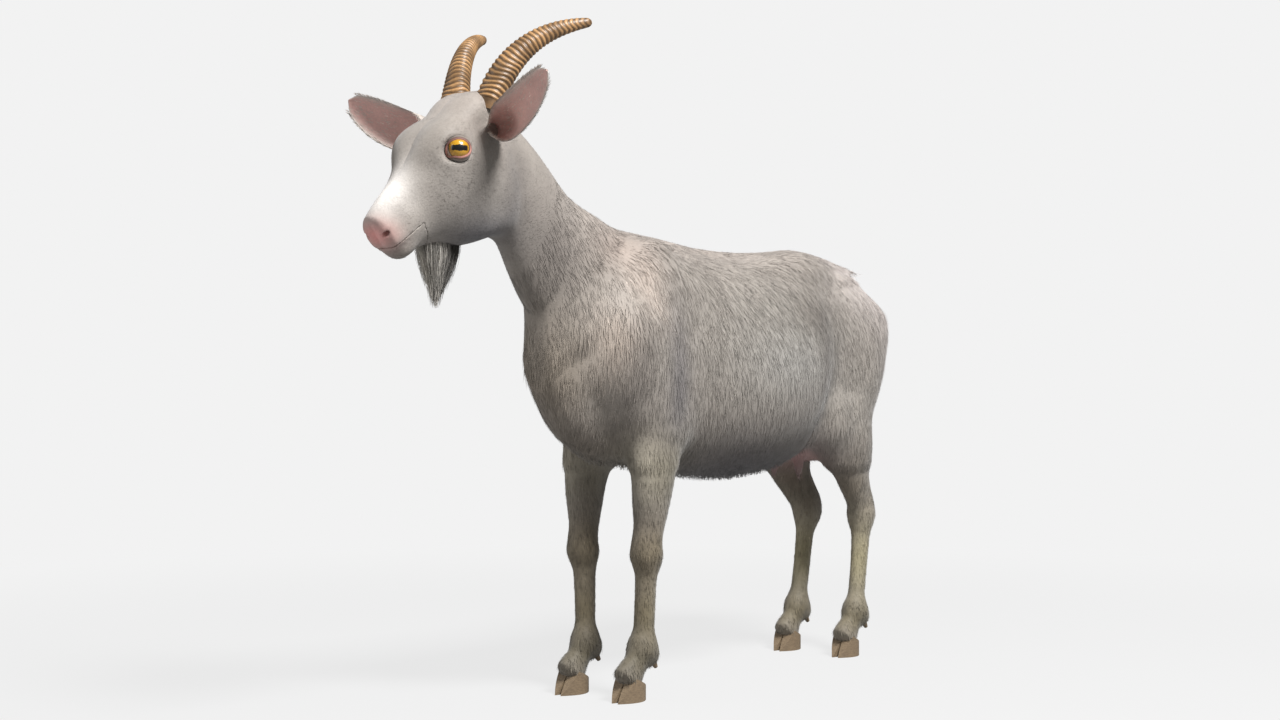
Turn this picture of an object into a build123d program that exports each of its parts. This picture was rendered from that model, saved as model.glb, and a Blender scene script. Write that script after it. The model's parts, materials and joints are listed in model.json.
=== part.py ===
"""Standing nanny goat, life size, as an articulated figure in its anatomical pieces.

Millimetres. +Z is up, the goat faces -Y and its left side is +X. The origin is on the
ground, under the middle of the whole animal. Every leg, neck, head, jaw and tail joint
turns about a line along X. Each moving piece starts in a round condyle on that line,
and the piece that carries it ends in a cup round the condyle, cut back by the swing.
"""
from build123d import *
from math import atan2, cos, degrees, radians, sin
import os

os.makedirs("parts", exist_ok=True)

# ---- joint centres: distance along the body (y), height (z), distance from the middle (x)
shoulder_y, shoulder_z = -62.0, 622.0
elbow_y, elbow_z, elbow_x = -84.0, 402.0, 72.0
knee_y, knee_z, knee_x = -107.0, 222.0, 65.0
fore_fetlock_y, fore_fetlock_z, fore_fetlock_x = -109.0, 76.0, 58.0
hip_y, hip_z = 492.0, 598.0
stifle_y, stifle_z, stifle_x = 420.0, 408.0, 80.0
hock_y, hock_z, hock_x = 521.0, 250.0, 60.0
hind_fetlock_y, hind_fetlock_z, hind_fetlock_x = 494.0, 76.0, 63.0
neck_y, neck_z = -188.0, 612.0
poll_y, poll_z = -385.0, 826.0
tail_y, tail_z = 578.0, 668.0

# ---- swings in degrees about +X: positive carries what hangs below the joint backwards
shoulder_swing = (-10.0, 10.0)
elbow_swing = (-50.0, 5.0)
knee_swing = (0.0, 75.0)
fetlock_swing = (-15.0, 50.0)
hip_swing = (-14.0, 14.0)
stifle_swing = (-8.0, 35.0)
hock_swing = (-50.0, 8.0)
neck_swing = (-8.0, 22.0)
head_swing = (-12.0, 15.0)   # about -X: positive lifts the nose
jaw_swing = (0.0, 16.0)
tail_swing = (0.0, 60.0)
ear_swing = (-30.0, 30.0)
eye_swing = (-15.0, 15.0)

# ---- condyle radii and half-widths
elbow_radius, elbow_half_width = 33.0, 26.0
knee_radius, knee_half_width = 25.0, 20.0
fetlock_radius, fetlock_half_width = 21.0, 17.0
stifle_radius, stifle_half_width = 42.0, 27.0
hock_radius, hock_half_width = 25.0, 18.0
neck_radius, neck_half_width = 100.0, 48.0
poll_radius, poll_half_width = 54.0, 36.0
jaw_radius, jaw_half_width = 9.0, 34.0
tail_radius, tail_half_width = 13.0, 12.0
condyle_round = 4.0

running_gap = 0.5          # between a condyle and its cup
blade_gap = 0.4            # between a shoulder blade or thigh and the flank it lies on
swing_gap = 2.0            # beside a limb at the end of its swing

blade_plane = 52.0         # flat inner face of the shoulder blades and thighs
blade_reach = 132.0        # radius of the shoulder's bed in the flank
thigh_reach = 92.0         # radius of the thigh's bed in the flank

# ---- trunk rings: y, top, bottom, half-width
trunk_rings = (
    (-290.0, 560.0, 474.0, 26.0),
    (-258.0, 640.0, 424.0, 44.0),
    (-190.0, 700.0, 380.0, 55.0),
    (-100.0, 716.0, 360.0, 70.0),
    (0.0, 716.0, 345.0, 98.0),
    (90.0, 706.0, 335.0, 126.0),
    (200.0, 702.0, 333.0, 142.0),
    (300.0, 714.0, 352.0, 128.0),
    (365.0, 727.0, 392.0, 104.0),
    (440.0, 724.0, 436.0, 86.0),
    (520.0, 704.0, 478.0, 72.0),
    (582.0, 668.0, 516.0, 54.0),
    (619.8, 622.0, 562.0, 24.0),
)

# ---- limb rings: share of the way between two joints, half-width, half-depth, shift forwards
forearm_rings = (
    (0.0, 26.0, 32.0, 0.0),
    (0.2, 28.0, 38.0, 1.0),
    (0.5, 25.0, 31.0, 3.0),
    (0.78, 20.0, 23.0, 1.0),
    (1.0, 20.0, 20.0, 0.0),
)
fore_cannon_rings = (
    (0.0, 20.0, 21.0, 0.0),
    (0.2, 18.0, 19.5, -1.0),
    (0.55, 15.5, 17.5, 0.0),
    (0.85, 16.0, 17.5, 0.0),
    (1.0, 17.0, 17.0, 0.0),
)
gaskin_rings = (
    (0.0, 26.5, 41.0, 0.0),
    (0.25, 26.5, 40.0, -4.0),
    (0.55, 21.0, 28.0, -2.0),
    (0.82, 17.0, 20.0, -2.0),
    (1.0, 18.0, 20.0, -2.0),
)
hind_cannon_rings = (
    (0.0, 19.0, 22.0, 0.0),
    (0.2, 17.0, 19.0, -1.0),
    (0.5, 14.0, 16.5, 0.0),
    (0.85, 15.0, 17.0, 0.0),
    (1.0, 17.0, 17.0, 0.0),
)
pastern_rings = (
    (0.0, 17.0, 20.0, 0.0),
    (0.45, 17.0, 18.0, 0.0),
    (0.8, 19.0, 21.0, -2.0),
    (1.0, 20.0, 24.0, -3.0),
)
neck_rings = (
    (0.0, 48.0, 98.0, 0.0),
    (0.3, 48.0, 91.0, 4.0),
    (0.6, 45.0, 78.0, 6.0),
    (0.85, 40.0, 66.0, 5.0),
    (1.0, 36.0, 54.0, 0.0),
)

# ---- shoulder and thigh rings: height, y, half-depth, half-width, centre out from the middle
shoulder_rings = (
    (712.0, -70.0, 26.0, 12.0, 58.0),
    (680.0, -72.0, 62.0, 24.0, 58.0),
    (622.0, -88.0, 96.0, 36.0, 60.0),
    (550.0, -112.0, 112.0, 45.0, 60.0),
    (490.0, -112.0, 106.0, 46.0, 62.0),
    (440.0, -92.0, 74.0, 38.0, 67.0),
    (402.0, -80.0, 44.0, 30.0, 72.0),
)
thigh_rings = (
    (672.0, 490.0, 28.0, 16.0, 60.0),
    (640.0, 488.0, 66.0, 32.0, 62.0),
    (590.0, 488.0, 84.0, 42.0, 64.0),
    (530.0, 482.0, 88.0, 46.0, 66.0),
    (470.0, 462.0, 84.0, 42.0, 70.0),
    (430.0, 438.0, 62.0, 34.0, 76.0),
    (408.0, 424.0, 44.0, 29.0, 80.0),
)

# ---- head: axis from the back of the skull to the nose, rings along and square to it
skull_y, skull_z = -400.0, 838.0
muzzle_y, muzzle_z = -600.0, 674.0
head_rings = (
    (-24.0, 42.0, 28.0, 24.0),
    (8.0, 26.0, 47.0, 50.0),
    (50.0, -3.0, 54.0, 80.0),
    (100.0, -7.0, 55.0, 81.0),
    (145.0, -8.0, 45.0, 68.0),
    (190.0, 1.0, 35.0, 50.0),
    (228.0, 6.0, 31.0, 37.0),
    (254.0, 7.0, 25.0, 30.0),
)
mouth_line = -8.0          # height of the lips above the head's axis
jaw_hinge_along = 64.0     # jaw hinge from the back of the skull
jaw_back = 20.0            # how far the jaw reaches behind its hinge
lip_gap = 0.8
mouth_start, mouth_end = 150.0, 246.0
mouth_half_width, mouth_depth = 15.0, 8.0
tongue_length, tongue_half_width, tongue_height = 78.0, 11.0, 7.0
incisor_count, incisor_width, incisor_height = 8, 3.4, 9.0
nose_pad_depth = 9.0

eye_x, eye_y, eye_z = 52.0, -505.0, 809.0
eye_radius, eye_gap = 14.0, 0.4
eye_forward = 28.0         # degrees the gaze turns forwards of straight sideways
iris_radius, iris_thickness = 8.5, 1.0
cornea_height = 3.2
orbit_radius = 21.0

horn_base = (34.5, -424.0, 888.0)
horn_bends = ((51.0, -402.0, 964.0), (76.0, -352.0, 1000.0))
horn_tip = (109.0, -288.0, 1012.0)
horn_rings = 20
horn_base_radius, horn_tip_radius = 20.5, 5.5
horn_groove = 0.93         # groove radius as a share of its ridge

ear_root = (48.0, -431.0, 846.0)
ear_tip = (199.0, -480.0, 908.0)
ear_half_width, ear_wall = 35.0, 3.0
ear_leaf_way = (0.38, 0.70, -0.61)   # the leaf's width runs outwards, back and down
ear_stalk_radius, ear_stalk_length = 10.0, 16.0

beard_root_y, beard_root_z = -492.0, 700.0
beard_tip_y, beard_tip_z = -498.0, 596.0
beard_half_length, beard_half_width = 38.0, 13.0

tail_length, tail_tip_radius = 100.0, 7.0

udder_y, udder_z = 378.0, 402.0
udder_half_length, udder_radius, udder_height = 60.0, 42.0, 50.0
teat_spread, teat_y = 26.0, 368.0
teat_radius, teat_bottom = 7.5, 325.0

# ---- feet
claw_length, claw_width, claw_height = 66.0, 19.5, 36.0
heel_height = 22.0
claw_slit = 3.0            # between the two claws
toe_ahead = 66.0           # claw tip ahead of the fetlock
toe_slope = 52.0           # degrees
dewclaw_radius, dewclaw_length = 6.5, 17.0


def point(y, z, x=0.0):
    """A place in the animal, written lengthwise, upwards and sideways."""
    return Vector(x, y, z)


elbow = point(elbow_y, elbow_z, elbow_x)
knee = point(knee_y, knee_z, knee_x)
fore_fetlock = point(fore_fetlock_y, fore_fetlock_z, fore_fetlock_x)
stifle = point(stifle_y, stifle_z, stifle_x)
hock = point(hock_y, hock_z, hock_x)
hind_fetlock = point(hind_fetlock_y, hind_fetlock_z, hind_fetlock_x)
neck_base = point(neck_y, neck_z)
poll = point(poll_y, poll_z)
tail_root = point(tail_y, tail_z)


def limb(start, end, rings):
    """Loft a limb through elliptical rings square to the line between two joints."""
    run = end - start
    with BuildPart() as shaft:
        for share, half_width, half_depth, forwards in rings:
            ring_plane = Plane(origin=start + run * share, x_dir=(1, 0, 0), z_dir=run)
            with BuildSketch(ring_plane):
                with Locations((0, forwards)):
                    Ellipse(half_width, half_depth)
        loft()
    return shaft.part


def slab(rings):
    """Loft a shoulder or thigh through level rings and flatten its inner face."""
    with BuildPart() as muscle:
        for height, along, half_depth, half_width, out in rings:
            with BuildSketch(Plane.XY.offset(height)):
                with Locations((out, along)):
                    Ellipse(half_width, half_depth)
        loft()
        split(bisect_by=Plane.YZ.offset(blade_plane), keep=Keep.TOP)
    return muscle.part


def condyle(centre, radius, half_width):
    """Round head of a joint, with its axis along X."""
    with BuildPart() as head:
        with Locations(Location(centre, (0, 90, 0))):
            Cylinder(radius, 2 * half_width)
        fillet(head.edges(), condyle_round)
    return head.part


def thickest(rings):
    """Greatest distance from a limb's line to its surface, along the animal."""
    return max(half_depth + abs(forwards) for _, _, half_depth, forwards in rings)


def swing_space(centre, end, radius, swing, half_width, thickness=0.0):
    """Room that a limb sweeps about its joint, as wide as the limb and its gaps."""
    reach = (end - centre).length
    rest = atan2(end.Z - centre.Z, end.Y - centre.Y)
    first, last = (rest + radians(turn) for turn in swing)
    wide = max(radius, thickness) + swing_gap

    def rim(angle, side, far):
        """Point on the edge of the limb, level with the joint or beyond its end."""
        along = reach * 1.3 * far
        across = angle + side * radians(90)
        return (
            centre.Y + wide * cos(across) + along * cos(angle),
            centre.Z + wide * sin(across) + along * sin(angle),
        )

    middle = (first + last) / 2
    outline = (
        rim(first, -1, 0),
        rim(first, -1, 1),
        rim(middle, 0, 1.25),
        rim(last, 1, 1),
        rim(last, 1, 0),
    )
    with BuildPart() as space:
        with BuildSketch(Plane.YZ.offset(centre.X - half_width - swing_gap)):
            Polygon(*outline, (centre.Y, centre.Z), align=None)
            with Locations((centre.Y, centre.Z)):
                Circle(radius + running_gap)
        extrude(amount=2 * (half_width + swing_gap))
    return space.part


def swept_side(rings, pivot_y, pivot_z, swing):
    """Outline that a shoulder or thigh covers from one end of its swing to the other."""
    outline = []
    for side, turn, order in ((-1, swing[0], 1), (1, swing[1], -1)):
        angle = radians(turn)
        for height, along, half_depth, _, _ in rings[::order]:
            y, z = along + side * (half_depth + swing_gap) - pivot_y, height - pivot_z
            outline.append(
                (
                    pivot_y + y * cos(angle) - z * sin(angle),
                    pivot_z + y * sin(angle) + z * cos(angle),
                )
            )
    return outline


def save(piece, name):
    """Name a finished piece and write it."""
    piece.label = name
    export_step(piece, f"parts/{name}.step")


def save_pair(piece, name):
    """Write a left piece and its mirror image on the right."""
    save(piece, f"left_{name}")
    save(mirror(piece, about=Plane.YZ), f"right_{name}")


# ---- trunk: a deep barrel, flat where the shoulder blades and thighs lie
with BuildPart() as barrel:
    for along, top, bottom, half_width in trunk_rings:
        with BuildSketch(Plane.XZ.offset(-along)):
            with Locations((0, (top + bottom) / 2)):
                Ellipse(half_width, (top - bottom) / 2)
    loft()

front_end, back_end = trunk_rings[0][0], trunk_rings[-1][0]
chest_floor = min(ring[2] for ring in trunk_rings)
bed_depth = 200.0
bed_plane = Plane.YZ.offset(blade_plane - blade_gap)

with BuildPart() as shoulder_bed:
    with BuildSketch(bed_plane):
        with Locations((shoulder_y, shoulder_z)):
            Circle(blade_reach)
        Polygon(
            (front_end - 20, shoulder_z + blade_reach),
            (shoulder_y, shoulder_z + blade_reach),
            (shoulder_y + blade_reach, shoulder_z),
            (shoulder_y + blade_reach * 0.8, chest_floor - 20),
            (front_end - 20, chest_floor - 20),
            align=None,
        )
        Polygon(*swept_side(shoulder_rings, shoulder_y, shoulder_z, shoulder_swing), align=None)
    extrude(amount=bed_depth)

with BuildPart() as thigh_bed:
    with BuildSketch(bed_plane):
        with Locations((hip_y, hip_z)):
            Circle(thigh_reach)
        Polygon(
            (hip_y - thigh_reach, hip_z),
            (hip_y + thigh_reach, hip_z),
            (back_end + 40, chest_floor - 20),
            (hip_y - thigh_reach * 2.6, chest_floor - 20),
            align=None,
        )
        Polygon(*swept_side(thigh_rings, hip_y, hip_z, hip_swing), align=None)
    extrude(amount=bed_depth)

elbow_bed_top = elbow_z + elbow_radius + 30
with BuildPart() as elbow_bed:
    with BuildSketch(Plane.YZ.offset(elbow_x - elbow_half_width - 10)):
        Polygon(
            (front_end - 20, elbow_bed_top),
            (shoulder_y + blade_reach * 0.8, elbow_bed_top),
            (shoulder_y + blade_reach * 0.8, chest_floor - 20),
            (front_end - 20, chest_floor - 20),
            align=None,
        )
    extrude(amount=bed_depth)

neck_swing_space = swing_space(neck_base, poll, neck_radius, neck_swing, neck_half_width)

tail_end = tail_root + Vector(0, 0.28, -1).normalized() * tail_length
with BuildPart() as trunk:
    add(barrel.part)
    for bed in (shoulder_bed.part, elbow_bed.part, thigh_bed.part):
        add(bed, mode=Mode.SUBTRACT)
        add(mirror(bed, about=Plane.YZ), mode=Mode.SUBTRACT)
    add(neck_swing_space, mode=Mode.SUBTRACT)
    add(
        swing_space(tail_root, tail_end, tail_radius, tail_swing, tail_half_width),
        mode=Mode.SUBTRACT,
    )
save(trunk.part, "trunk")

# ---- udder with two teats, hung face to face under the belly
udder_ball = scale(
    Sphere(udder_radius), by=(1, udder_half_length / udder_radius, udder_height / udder_radius)
).moved(Location((0, udder_y, udder_z)))
with BuildPart() as udder:
    add(udder_ball)
    for side in (-1, 1):
        with BuildSketch(Plane.XY.offset(teat_bottom)):
            with Locations((side * teat_spread, teat_y)):
                Circle(teat_radius * 0.6)
        with BuildSketch(Plane.XY.offset(teat_bottom + teat_radius * 1.5)):
            with Locations((side * teat_spread, teat_y)):
                Circle(teat_radius)
        with BuildSketch(Plane.XY.offset(udder_z - udder_height * 0.5)):
            with Locations((side * teat_spread * 0.8, teat_y)):
                Circle(teat_radius * 1.5)
        loft()
    add(barrel.part, mode=Mode.SUBTRACT)
save(udder.part, "udder")

# ---- neck
head_run = point(muzzle_y, muzzle_z) - point(skull_y, skull_z)
head_length_way = head_run.normalized()
head_up = Vector(0, head_length_way.Z, -head_length_way.Y)
skull = point(skull_y, skull_z)


def on_head(along, up, out=0.0):
    """A place on the head, from the back of the skull along its axis and square to it."""
    return skull + head_length_way * along + head_up * up + Vector(out, 0, 0)


head_plane = Plane(origin=skull, x_dir=head_length_way, z_dir=(1, 0, 0))
if head_plane.y_dir.dot(head_up) < 0:
    head_plane = Plane(origin=skull, x_dir=head_length_way, z_dir=(-1, 0, 0))
jaw_hinge = on_head(jaw_hinge_along, mouth_line)

with BuildPart() as skull_loft:
    for along, up, half_width, half_height in head_rings:
        ring_plane = Plane(origin=on_head(along, up), x_dir=(1, 0, 0), z_dir=head_length_way)
        with BuildSketch(ring_plane):
            Ellipse(half_width, half_height)
    loft()

throat_reach = 108.0       # hollow under the poll where the back of the jaw swings
throat_from, throat_to = 180.0, 280.0 - head_swing[0]
throat_turns = [radians(throat_from + (throat_to - throat_from) * step / 12) for step in range(13)]
throat_rim = [
    (poll_y + throat_reach * cos(turn), poll_z + throat_reach * sin(turn))
    for turn in throat_turns
]
with BuildPart() as neck:
    add(limb(neck_base, poll, neck_rings))
    add(condyle(neck_base, neck_radius, neck_half_width))
    with BuildSketch(Plane.YZ.offset(-neck_radius)):
        with Locations((poll_y, poll_z)):
            Circle(poll_radius + running_gap)
        Polygon((poll_y, poll_z), *throat_rim, align=None)
    extrude(amount=2 * neck_radius, mode=Mode.SUBTRACT)
save(neck.part, "neck")

# ---- head: skull and upper face, cut along the mouth and round the jaw hinge
jaw_reach = 160.0
jaw_steps = 4              # places of the poll, seen from the jaw as it opens
jaw_turn = radians(jaw_swing[1] + 1.5)


def head_block(outline, half_width):
    """Block with an outline drawn on the head's side view, equally far to both sides."""
    with BuildPart() as block:
        with BuildSketch(head_plane):
            Polygon(*outline, align=None)
        extrude(amount=half_width, both=True)
    return block.part


head_end = max(ring[0] for ring in head_rings) + 20
below_mouth = head_block(
    (
        (head_end, mouth_line),
        (jaw_hinge_along, mouth_line),
        (jaw_hinge_along - jaw_back, mouth_line - jaw_back * sin(jaw_turn) / cos(jaw_turn)),
        (jaw_hinge_along - jaw_back, mouth_line - jaw_reach),
        (head_end, mouth_line - jaw_reach),
    ),
    3 * jaw_half_width,
)
jaw_room = head_block(
    (
        (head_end, mouth_line + lip_gap),
        (-head_end, mouth_line + lip_gap),
        (-head_end, mouth_line - jaw_reach),
        (head_end, mouth_line - jaw_reach),
    ),
    3 * jaw_half_width,
)

mouth_floor = Plane(
    origin=on_head(0, mouth_line - mouth_depth), x_dir=head_length_way, z_dir=head_up
)
with BuildPart() as mouth_cavity:
    with BuildSketch(mouth_floor):
        with Locations(((mouth_start + mouth_end) / 2, 0)):
            SlotOverall(mouth_end - mouth_start, 2 * mouth_half_width)
    extrude(amount=2 * mouth_depth)

eye_way = Vector(cos(radians(eye_forward)), -sin(radians(eye_forward)), 0)
eye_centre = point(eye_y, eye_z, eye_x)
eye_frame = Plane(origin=eye_centre, z_dir=eye_way)
iris_seat = (eye_radius**2 - iris_radius**2) ** 0.5
iris_angle = atan2(iris_radius, iris_seat)
eye_opening = eye_radius * sin(iris_angle + radians(eye_swing[1]))   # clears the iris as it turns

with BuildPart() as eye_hollow:
    with Locations(eye_frame):
        Sphere(eye_radius + eye_gap)
    with BuildSketch(eye_frame.offset(iris_seat * 0.6)):
        Circle(eye_opening)
    with BuildSketch(eye_frame.offset(eye_radius * 2)):
        Circle(eye_opening * 1.5)
    loft()

ear_start, ear_stop = Vector(*ear_root), Vector(*ear_tip)
ear_way = (ear_stop - ear_start).normalized()
ear_frame = Plane(origin=ear_start, x_dir=Vector(*ear_leaf_way), z_dir=ear_way)
with BuildPart() as ear_socket:
    with BuildSketch(ear_frame.offset(-ear_stalk_length)):
        Circle(ear_stalk_radius + running_gap)
    extrude(amount=3 * ear_stalk_length)

mirrored_eye_frame = Plane(
    origin=(-eye_centre.X, eye_centre.Y, eye_centre.Z), z_dir=(-eye_way.X, eye_way.Y, eye_way.Z)
)
nose_cut = head_rings[-1][0] - nose_pad_depth
with BuildPart() as face:
    add(skull_loft.part)
    for frame in (eye_frame, mirrored_eye_frame):
        with Locations(frame.offset(-orbit_radius * 0.45)):
            Sphere(orbit_radius)
    add(jaw_room, mode=Mode.SUBTRACT)
    add(condyle(poll, poll_radius, poll_half_width))
    with Locations(Location(jaw_hinge, (0, 90, 0))):
        Cylinder(jaw_radius + running_gap, 4 * jaw_half_width, mode=Mode.SUBTRACT)
    add(mouth_cavity.part, mode=Mode.SUBTRACT)
    for hollow in (eye_hollow.part, ear_socket.part):
        add(hollow, mode=Mode.SUBTRACT)
        add(mirror(hollow, about=Plane.YZ), mode=Mode.SUBTRACT)

# the bare nose is the end of the upper face
with BuildPart() as nose_block:
    with BuildSketch(Plane(origin=on_head(nose_cut, 0), x_dir=(1, 0, 0), z_dir=head_length_way)):
        Rectangle(jaw_reach, jaw_reach)
    extrude(amount=jaw_reach)
with BuildPart() as nose_pad:
    add(face.part)
    add(nose_block.part, mode=Mode.INTERSECT)
save(nose_pad.part, "nose_pad")
with BuildPart() as head:
    add(face.part)
    add(nose_block.part, mode=Mode.SUBTRACT)
save(head.part, "head")

# ---- lower jaw, with its hinge bar through the cheeks, the tongue and the front teeth
with BuildPart() as poll_room:
    with Locations(Location(poll, (0, 90, 0))):
        Cylinder(poll_radius + swing_gap, 4 * poll_half_width)
jaw_axis = Axis(jaw_hinge, (1, 0, 0))
with BuildPart() as jaw:
    add(skull_loft.part)
    add(below_mouth, mode=Mode.INTERSECT)
    add(mouth_cavity.part, mode=Mode.SUBTRACT)
    for step in range(jaw_steps + 1):
        turn = -jaw_swing[1] * step / jaw_steps
        add(poll_room.part.rotate(jaw_axis, turn), mode=Mode.SUBTRACT)
    add(condyle(jaw_hinge, jaw_radius, jaw_half_width))
save(jaw.part, "jaw")

tongue_middle = (mouth_start + mouth_end) / 2 - 4
with BuildPart() as tongue:
    floor_plane = Plane(
        origin=on_head(tongue_middle, mouth_line - mouth_depth), x_dir=head_length_way, z_dir=head_up
    )
    with BuildSketch(floor_plane):
        SlotOverall(tongue_length, 2 * tongue_half_width)
    extrude(amount=tongue_height)
    fillet(tongue.faces().sort_by(Axis(floor_plane.origin, floor_plane.z_dir))[-1].edges(), 2.5)
save(tongue.part, "tongue")

with BuildPart() as lower_incisors:
    arch = mouth_half_width - incisor_width * 0.9
    for tooth in range(incisor_count):
        turn = radians(-70 + 140 * (tooth + 0.5) / incisor_count)
        gum = on_head(
            mouth_end - mouth_half_width + arch * cos(turn) + 0.5,
            mouth_line - mouth_depth,
            arch * sin(turn),
        )
        outwards = head_length_way * cos(turn) + Vector(sin(turn), 0, 0)
        tooth_plane = Plane(origin=gum, x_dir=outwards, z_dir=head_up)
        with BuildSketch(tooth_plane):
            Rectangle(incisor_width * 0.6, incisor_width * 0.9)
        with BuildSketch(tooth_plane.offset(incisor_height)):
            Rectangle(incisor_width * 0.35, incisor_width * 0.98)
        loft()
save(lower_incisors.part, "lower_incisors")

# ---- eyes: a ball that turns about an upright line, an iris disc and a clear cornea
with BuildPart() as eyeball:
    with Locations(eye_frame):
        Sphere(eye_radius)
    split(bisect_by=eye_frame.offset(iris_seat), keep=Keep.BOTTOM)
save_pair(eyeball.part, "eyeball")
with BuildPart() as iris:
    with BuildSketch(eye_frame.offset(iris_seat)):
        Circle(iris_radius)
    extrude(amount=iris_thickness)
save_pair(iris.part, "iris")
with BuildPart() as cornea:
    with BuildSketch(eye_frame.offset(iris_seat + iris_thickness)):
        Circle(iris_radius)
    with BuildSketch(eye_frame.offset(iris_seat + iris_thickness + cornea_height * 0.55)):
        Circle(iris_radius * 0.78)
    loft()
    top = cornea.faces().sort_by(Axis(eye_frame.origin, eye_frame.z_dir))[-1]
    fillet(top.edges(), cornea_height * 0.5)
save_pair(cornea.part, "cornea")


# ---- horns: a curve of rings that shrink towards a blunt tip
def curve_at(share):
    """Point and direction on the horn's middle line."""
    ends = [Vector(*place) for place in (horn_base, *horn_bends, horn_tip)]
    rest = 1 - share
    weights = (rest**3, 3 * rest**2 * share, 3 * rest * share**2, share**3)
    place = sum((end * weight for end, weight in zip(ends, weights)), Vector(0, 0, 0))
    steps = [after - before for before, after in zip(ends, ends[1:])]
    ways = (rest**2, 2 * rest * share, share**2)
    way = sum((step * weight for step, weight in zip(steps, ways)), Vector(0, 0, 0))
    return place, way.normalized()


with BuildPart() as horn:
    for ring in range(2 * horn_rings + 1):
        share = ring / (2 * horn_rings)
        place, way = curve_at(share)
        radius = horn_tip_radius + (horn_base_radius - horn_tip_radius) * (1 - share) ** 0.8
        ridge = 1.0 if ring % 2 else horn_groove
        with BuildSketch(Plane(origin=place, x_dir=(1, 0, 0), z_dir=way)):
            Ellipse(radius * ridge * 0.88, radius * ridge)
    loft(ruled=True)
    tip_face = horn.faces().sort_by_distance(Vector(*horn_tip))[0]
    fillet(tip_face.edges(), horn_tip_radius * 0.5)
    add(skull_loft.part, mode=Mode.SUBTRACT)
save_pair(horn.part, "horn")

# ---- ears: a leaf that is cupped forwards, on a stalk that turns in the skull
ear_length = (ear_stop - ear_start).length
ear_shares = (
    (0.07, 0.42, 0.62),
    (0.2, 0.8, 0.6),
    (0.42, 1.0, 0.42),
    (0.68, 0.86, 0.24),
    (0.88, 0.5, 0.13),
    (1.0, 0.1, 0.05),
)
with BuildPart() as ear:
    for share, width, depth in ear_shares:
        with BuildSketch(ear_frame.offset(ear_length * share)):
            Ellipse(ear_half_width * width, ear_half_width * depth * 0.7)
    loft()
    with BuildPart(mode=Mode.PRIVATE) as cup:
        for share, width, depth in ear_shares[1:-1]:
            with BuildSketch(ear_frame.offset(ear_length * share)):
                with Locations((0, ear_wall + ear_half_width * depth * 0.3)):
                    Ellipse(ear_half_width * width - ear_wall, ear_half_width * depth * 0.7)
        loft()
    add(cup.part, mode=Mode.SUBTRACT)
    with BuildSketch(ear_frame.offset(-ear_stalk_length + 2)):
        Circle(ear_stalk_radius)
    extrude(amount=ear_stalk_length + ear_length * 0.13)
save_pair(ear.part, "ear")

# ---- beard under the chin, tail behind the rump
beard_shares = ((0.0, 1.0, 1.0), (0.4, 0.8, 0.85), (0.8, 0.42, 0.5), (1.0, 0.12, 0.2))
with BuildPart() as beard:
    beard_run = point(beard_tip_y, beard_tip_z) - point(beard_root_y, beard_root_z)
    for share, length, width in beard_shares:
        with BuildSketch(Plane.XY.offset(beard_root_z + beard_run.Z * share)):
            with Locations((0, beard_root_y + beard_run.Y * share)):
                Ellipse(beard_half_width * width, beard_half_length * length)
    loft()
    add(skull_loft.part, mode=Mode.SUBTRACT)
save(beard.part, "beard")

with BuildPart() as tail:
    add(condyle(tail_root, tail_radius, tail_half_width))
    tail_rings = ((0.0, 11.0, tail_radius), (0.5, 12.0, 9.0), (1.0, 6.0, tail_tip_radius * 0.6))
    for share, half_width, half_depth in tail_rings:
        ring_plane = Plane(
            origin=tail_root + (tail_end - tail_root) * share, x_dir=(1, 0, 0), z_dir=tail_end - tail_root
        )
        with BuildSketch(ring_plane):
            Ellipse(half_width, half_depth)
    loft()
save(tail.part, "tail")

# ---- shoulder blades and thighs
elbow_space = swing_space(
    elbow, knee, elbow_radius, elbow_swing, elbow_half_width + 8, thickest(forearm_rings)
)
with BuildPart() as blade:
    add(slab(shoulder_rings))
    add(elbow_space, mode=Mode.SUBTRACT)
save_pair(blade.part, "shoulder")

stifle_space = swing_space(
    stifle, hock, stifle_radius, stifle_swing, stifle_half_width + 14, thickest(gaskin_rings)
)
with BuildPart() as thigh:
    add(slab(thigh_rings))
    add(stifle_space, mode=Mode.SUBTRACT)
save_pair(thigh.part, "thigh")


# ---- shanks: each starts in a condyle and ends in the cup of the next one
def shank(start, end, rings, start_size, end_space):
    """Limb between two joints with its condyle above and the next joint's cup below."""
    with BuildPart() as piece:
        add(limb(start, end, rings))
        add(end_space, mode=Mode.SUBTRACT)
        add(condyle(start, *start_size))
    return piece.part


fore_toe = fore_fetlock + Vector(0, -toe_ahead * 0.62, claw_height - fore_fetlock_z)
hind_toe = hind_fetlock + Vector(0, -toe_ahead * 0.62, claw_height - hind_fetlock_z)
knee_size = (knee_radius, knee_half_width)
elbow_size = (elbow_radius, elbow_half_width)
stifle_size = (stifle_radius, stifle_half_width)
hock_size = (hock_radius, hock_half_width)
fetlock_size = (fetlock_radius, fetlock_half_width)
knee_space = swing_space(knee, fore_fetlock, knee_radius, knee_swing, knee_half_width)
hock_space = swing_space(hock, hind_fetlock, hock_radius, hock_swing, hock_half_width)
fore_fetlock_space = swing_space(
    fore_fetlock, fore_toe, fetlock_radius, fetlock_swing, fetlock_half_width
)
hind_fetlock_space = swing_space(
    hind_fetlock, hind_toe, fetlock_radius, fetlock_swing, fetlock_half_width
)
save_pair(shank(elbow, knee, forearm_rings, elbow_size, knee_space), "forearm")
save_pair(shank(knee, fore_fetlock, fore_cannon_rings, knee_size, fore_fetlock_space), "fore_cannon")
save_pair(shank(stifle, hock, gaskin_rings, stifle_size, hock_space), "gaskin")
save_pair(shank(hock, hind_fetlock, hind_cannon_rings, hock_size, hind_fetlock_space), "hind_cannon")


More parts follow.
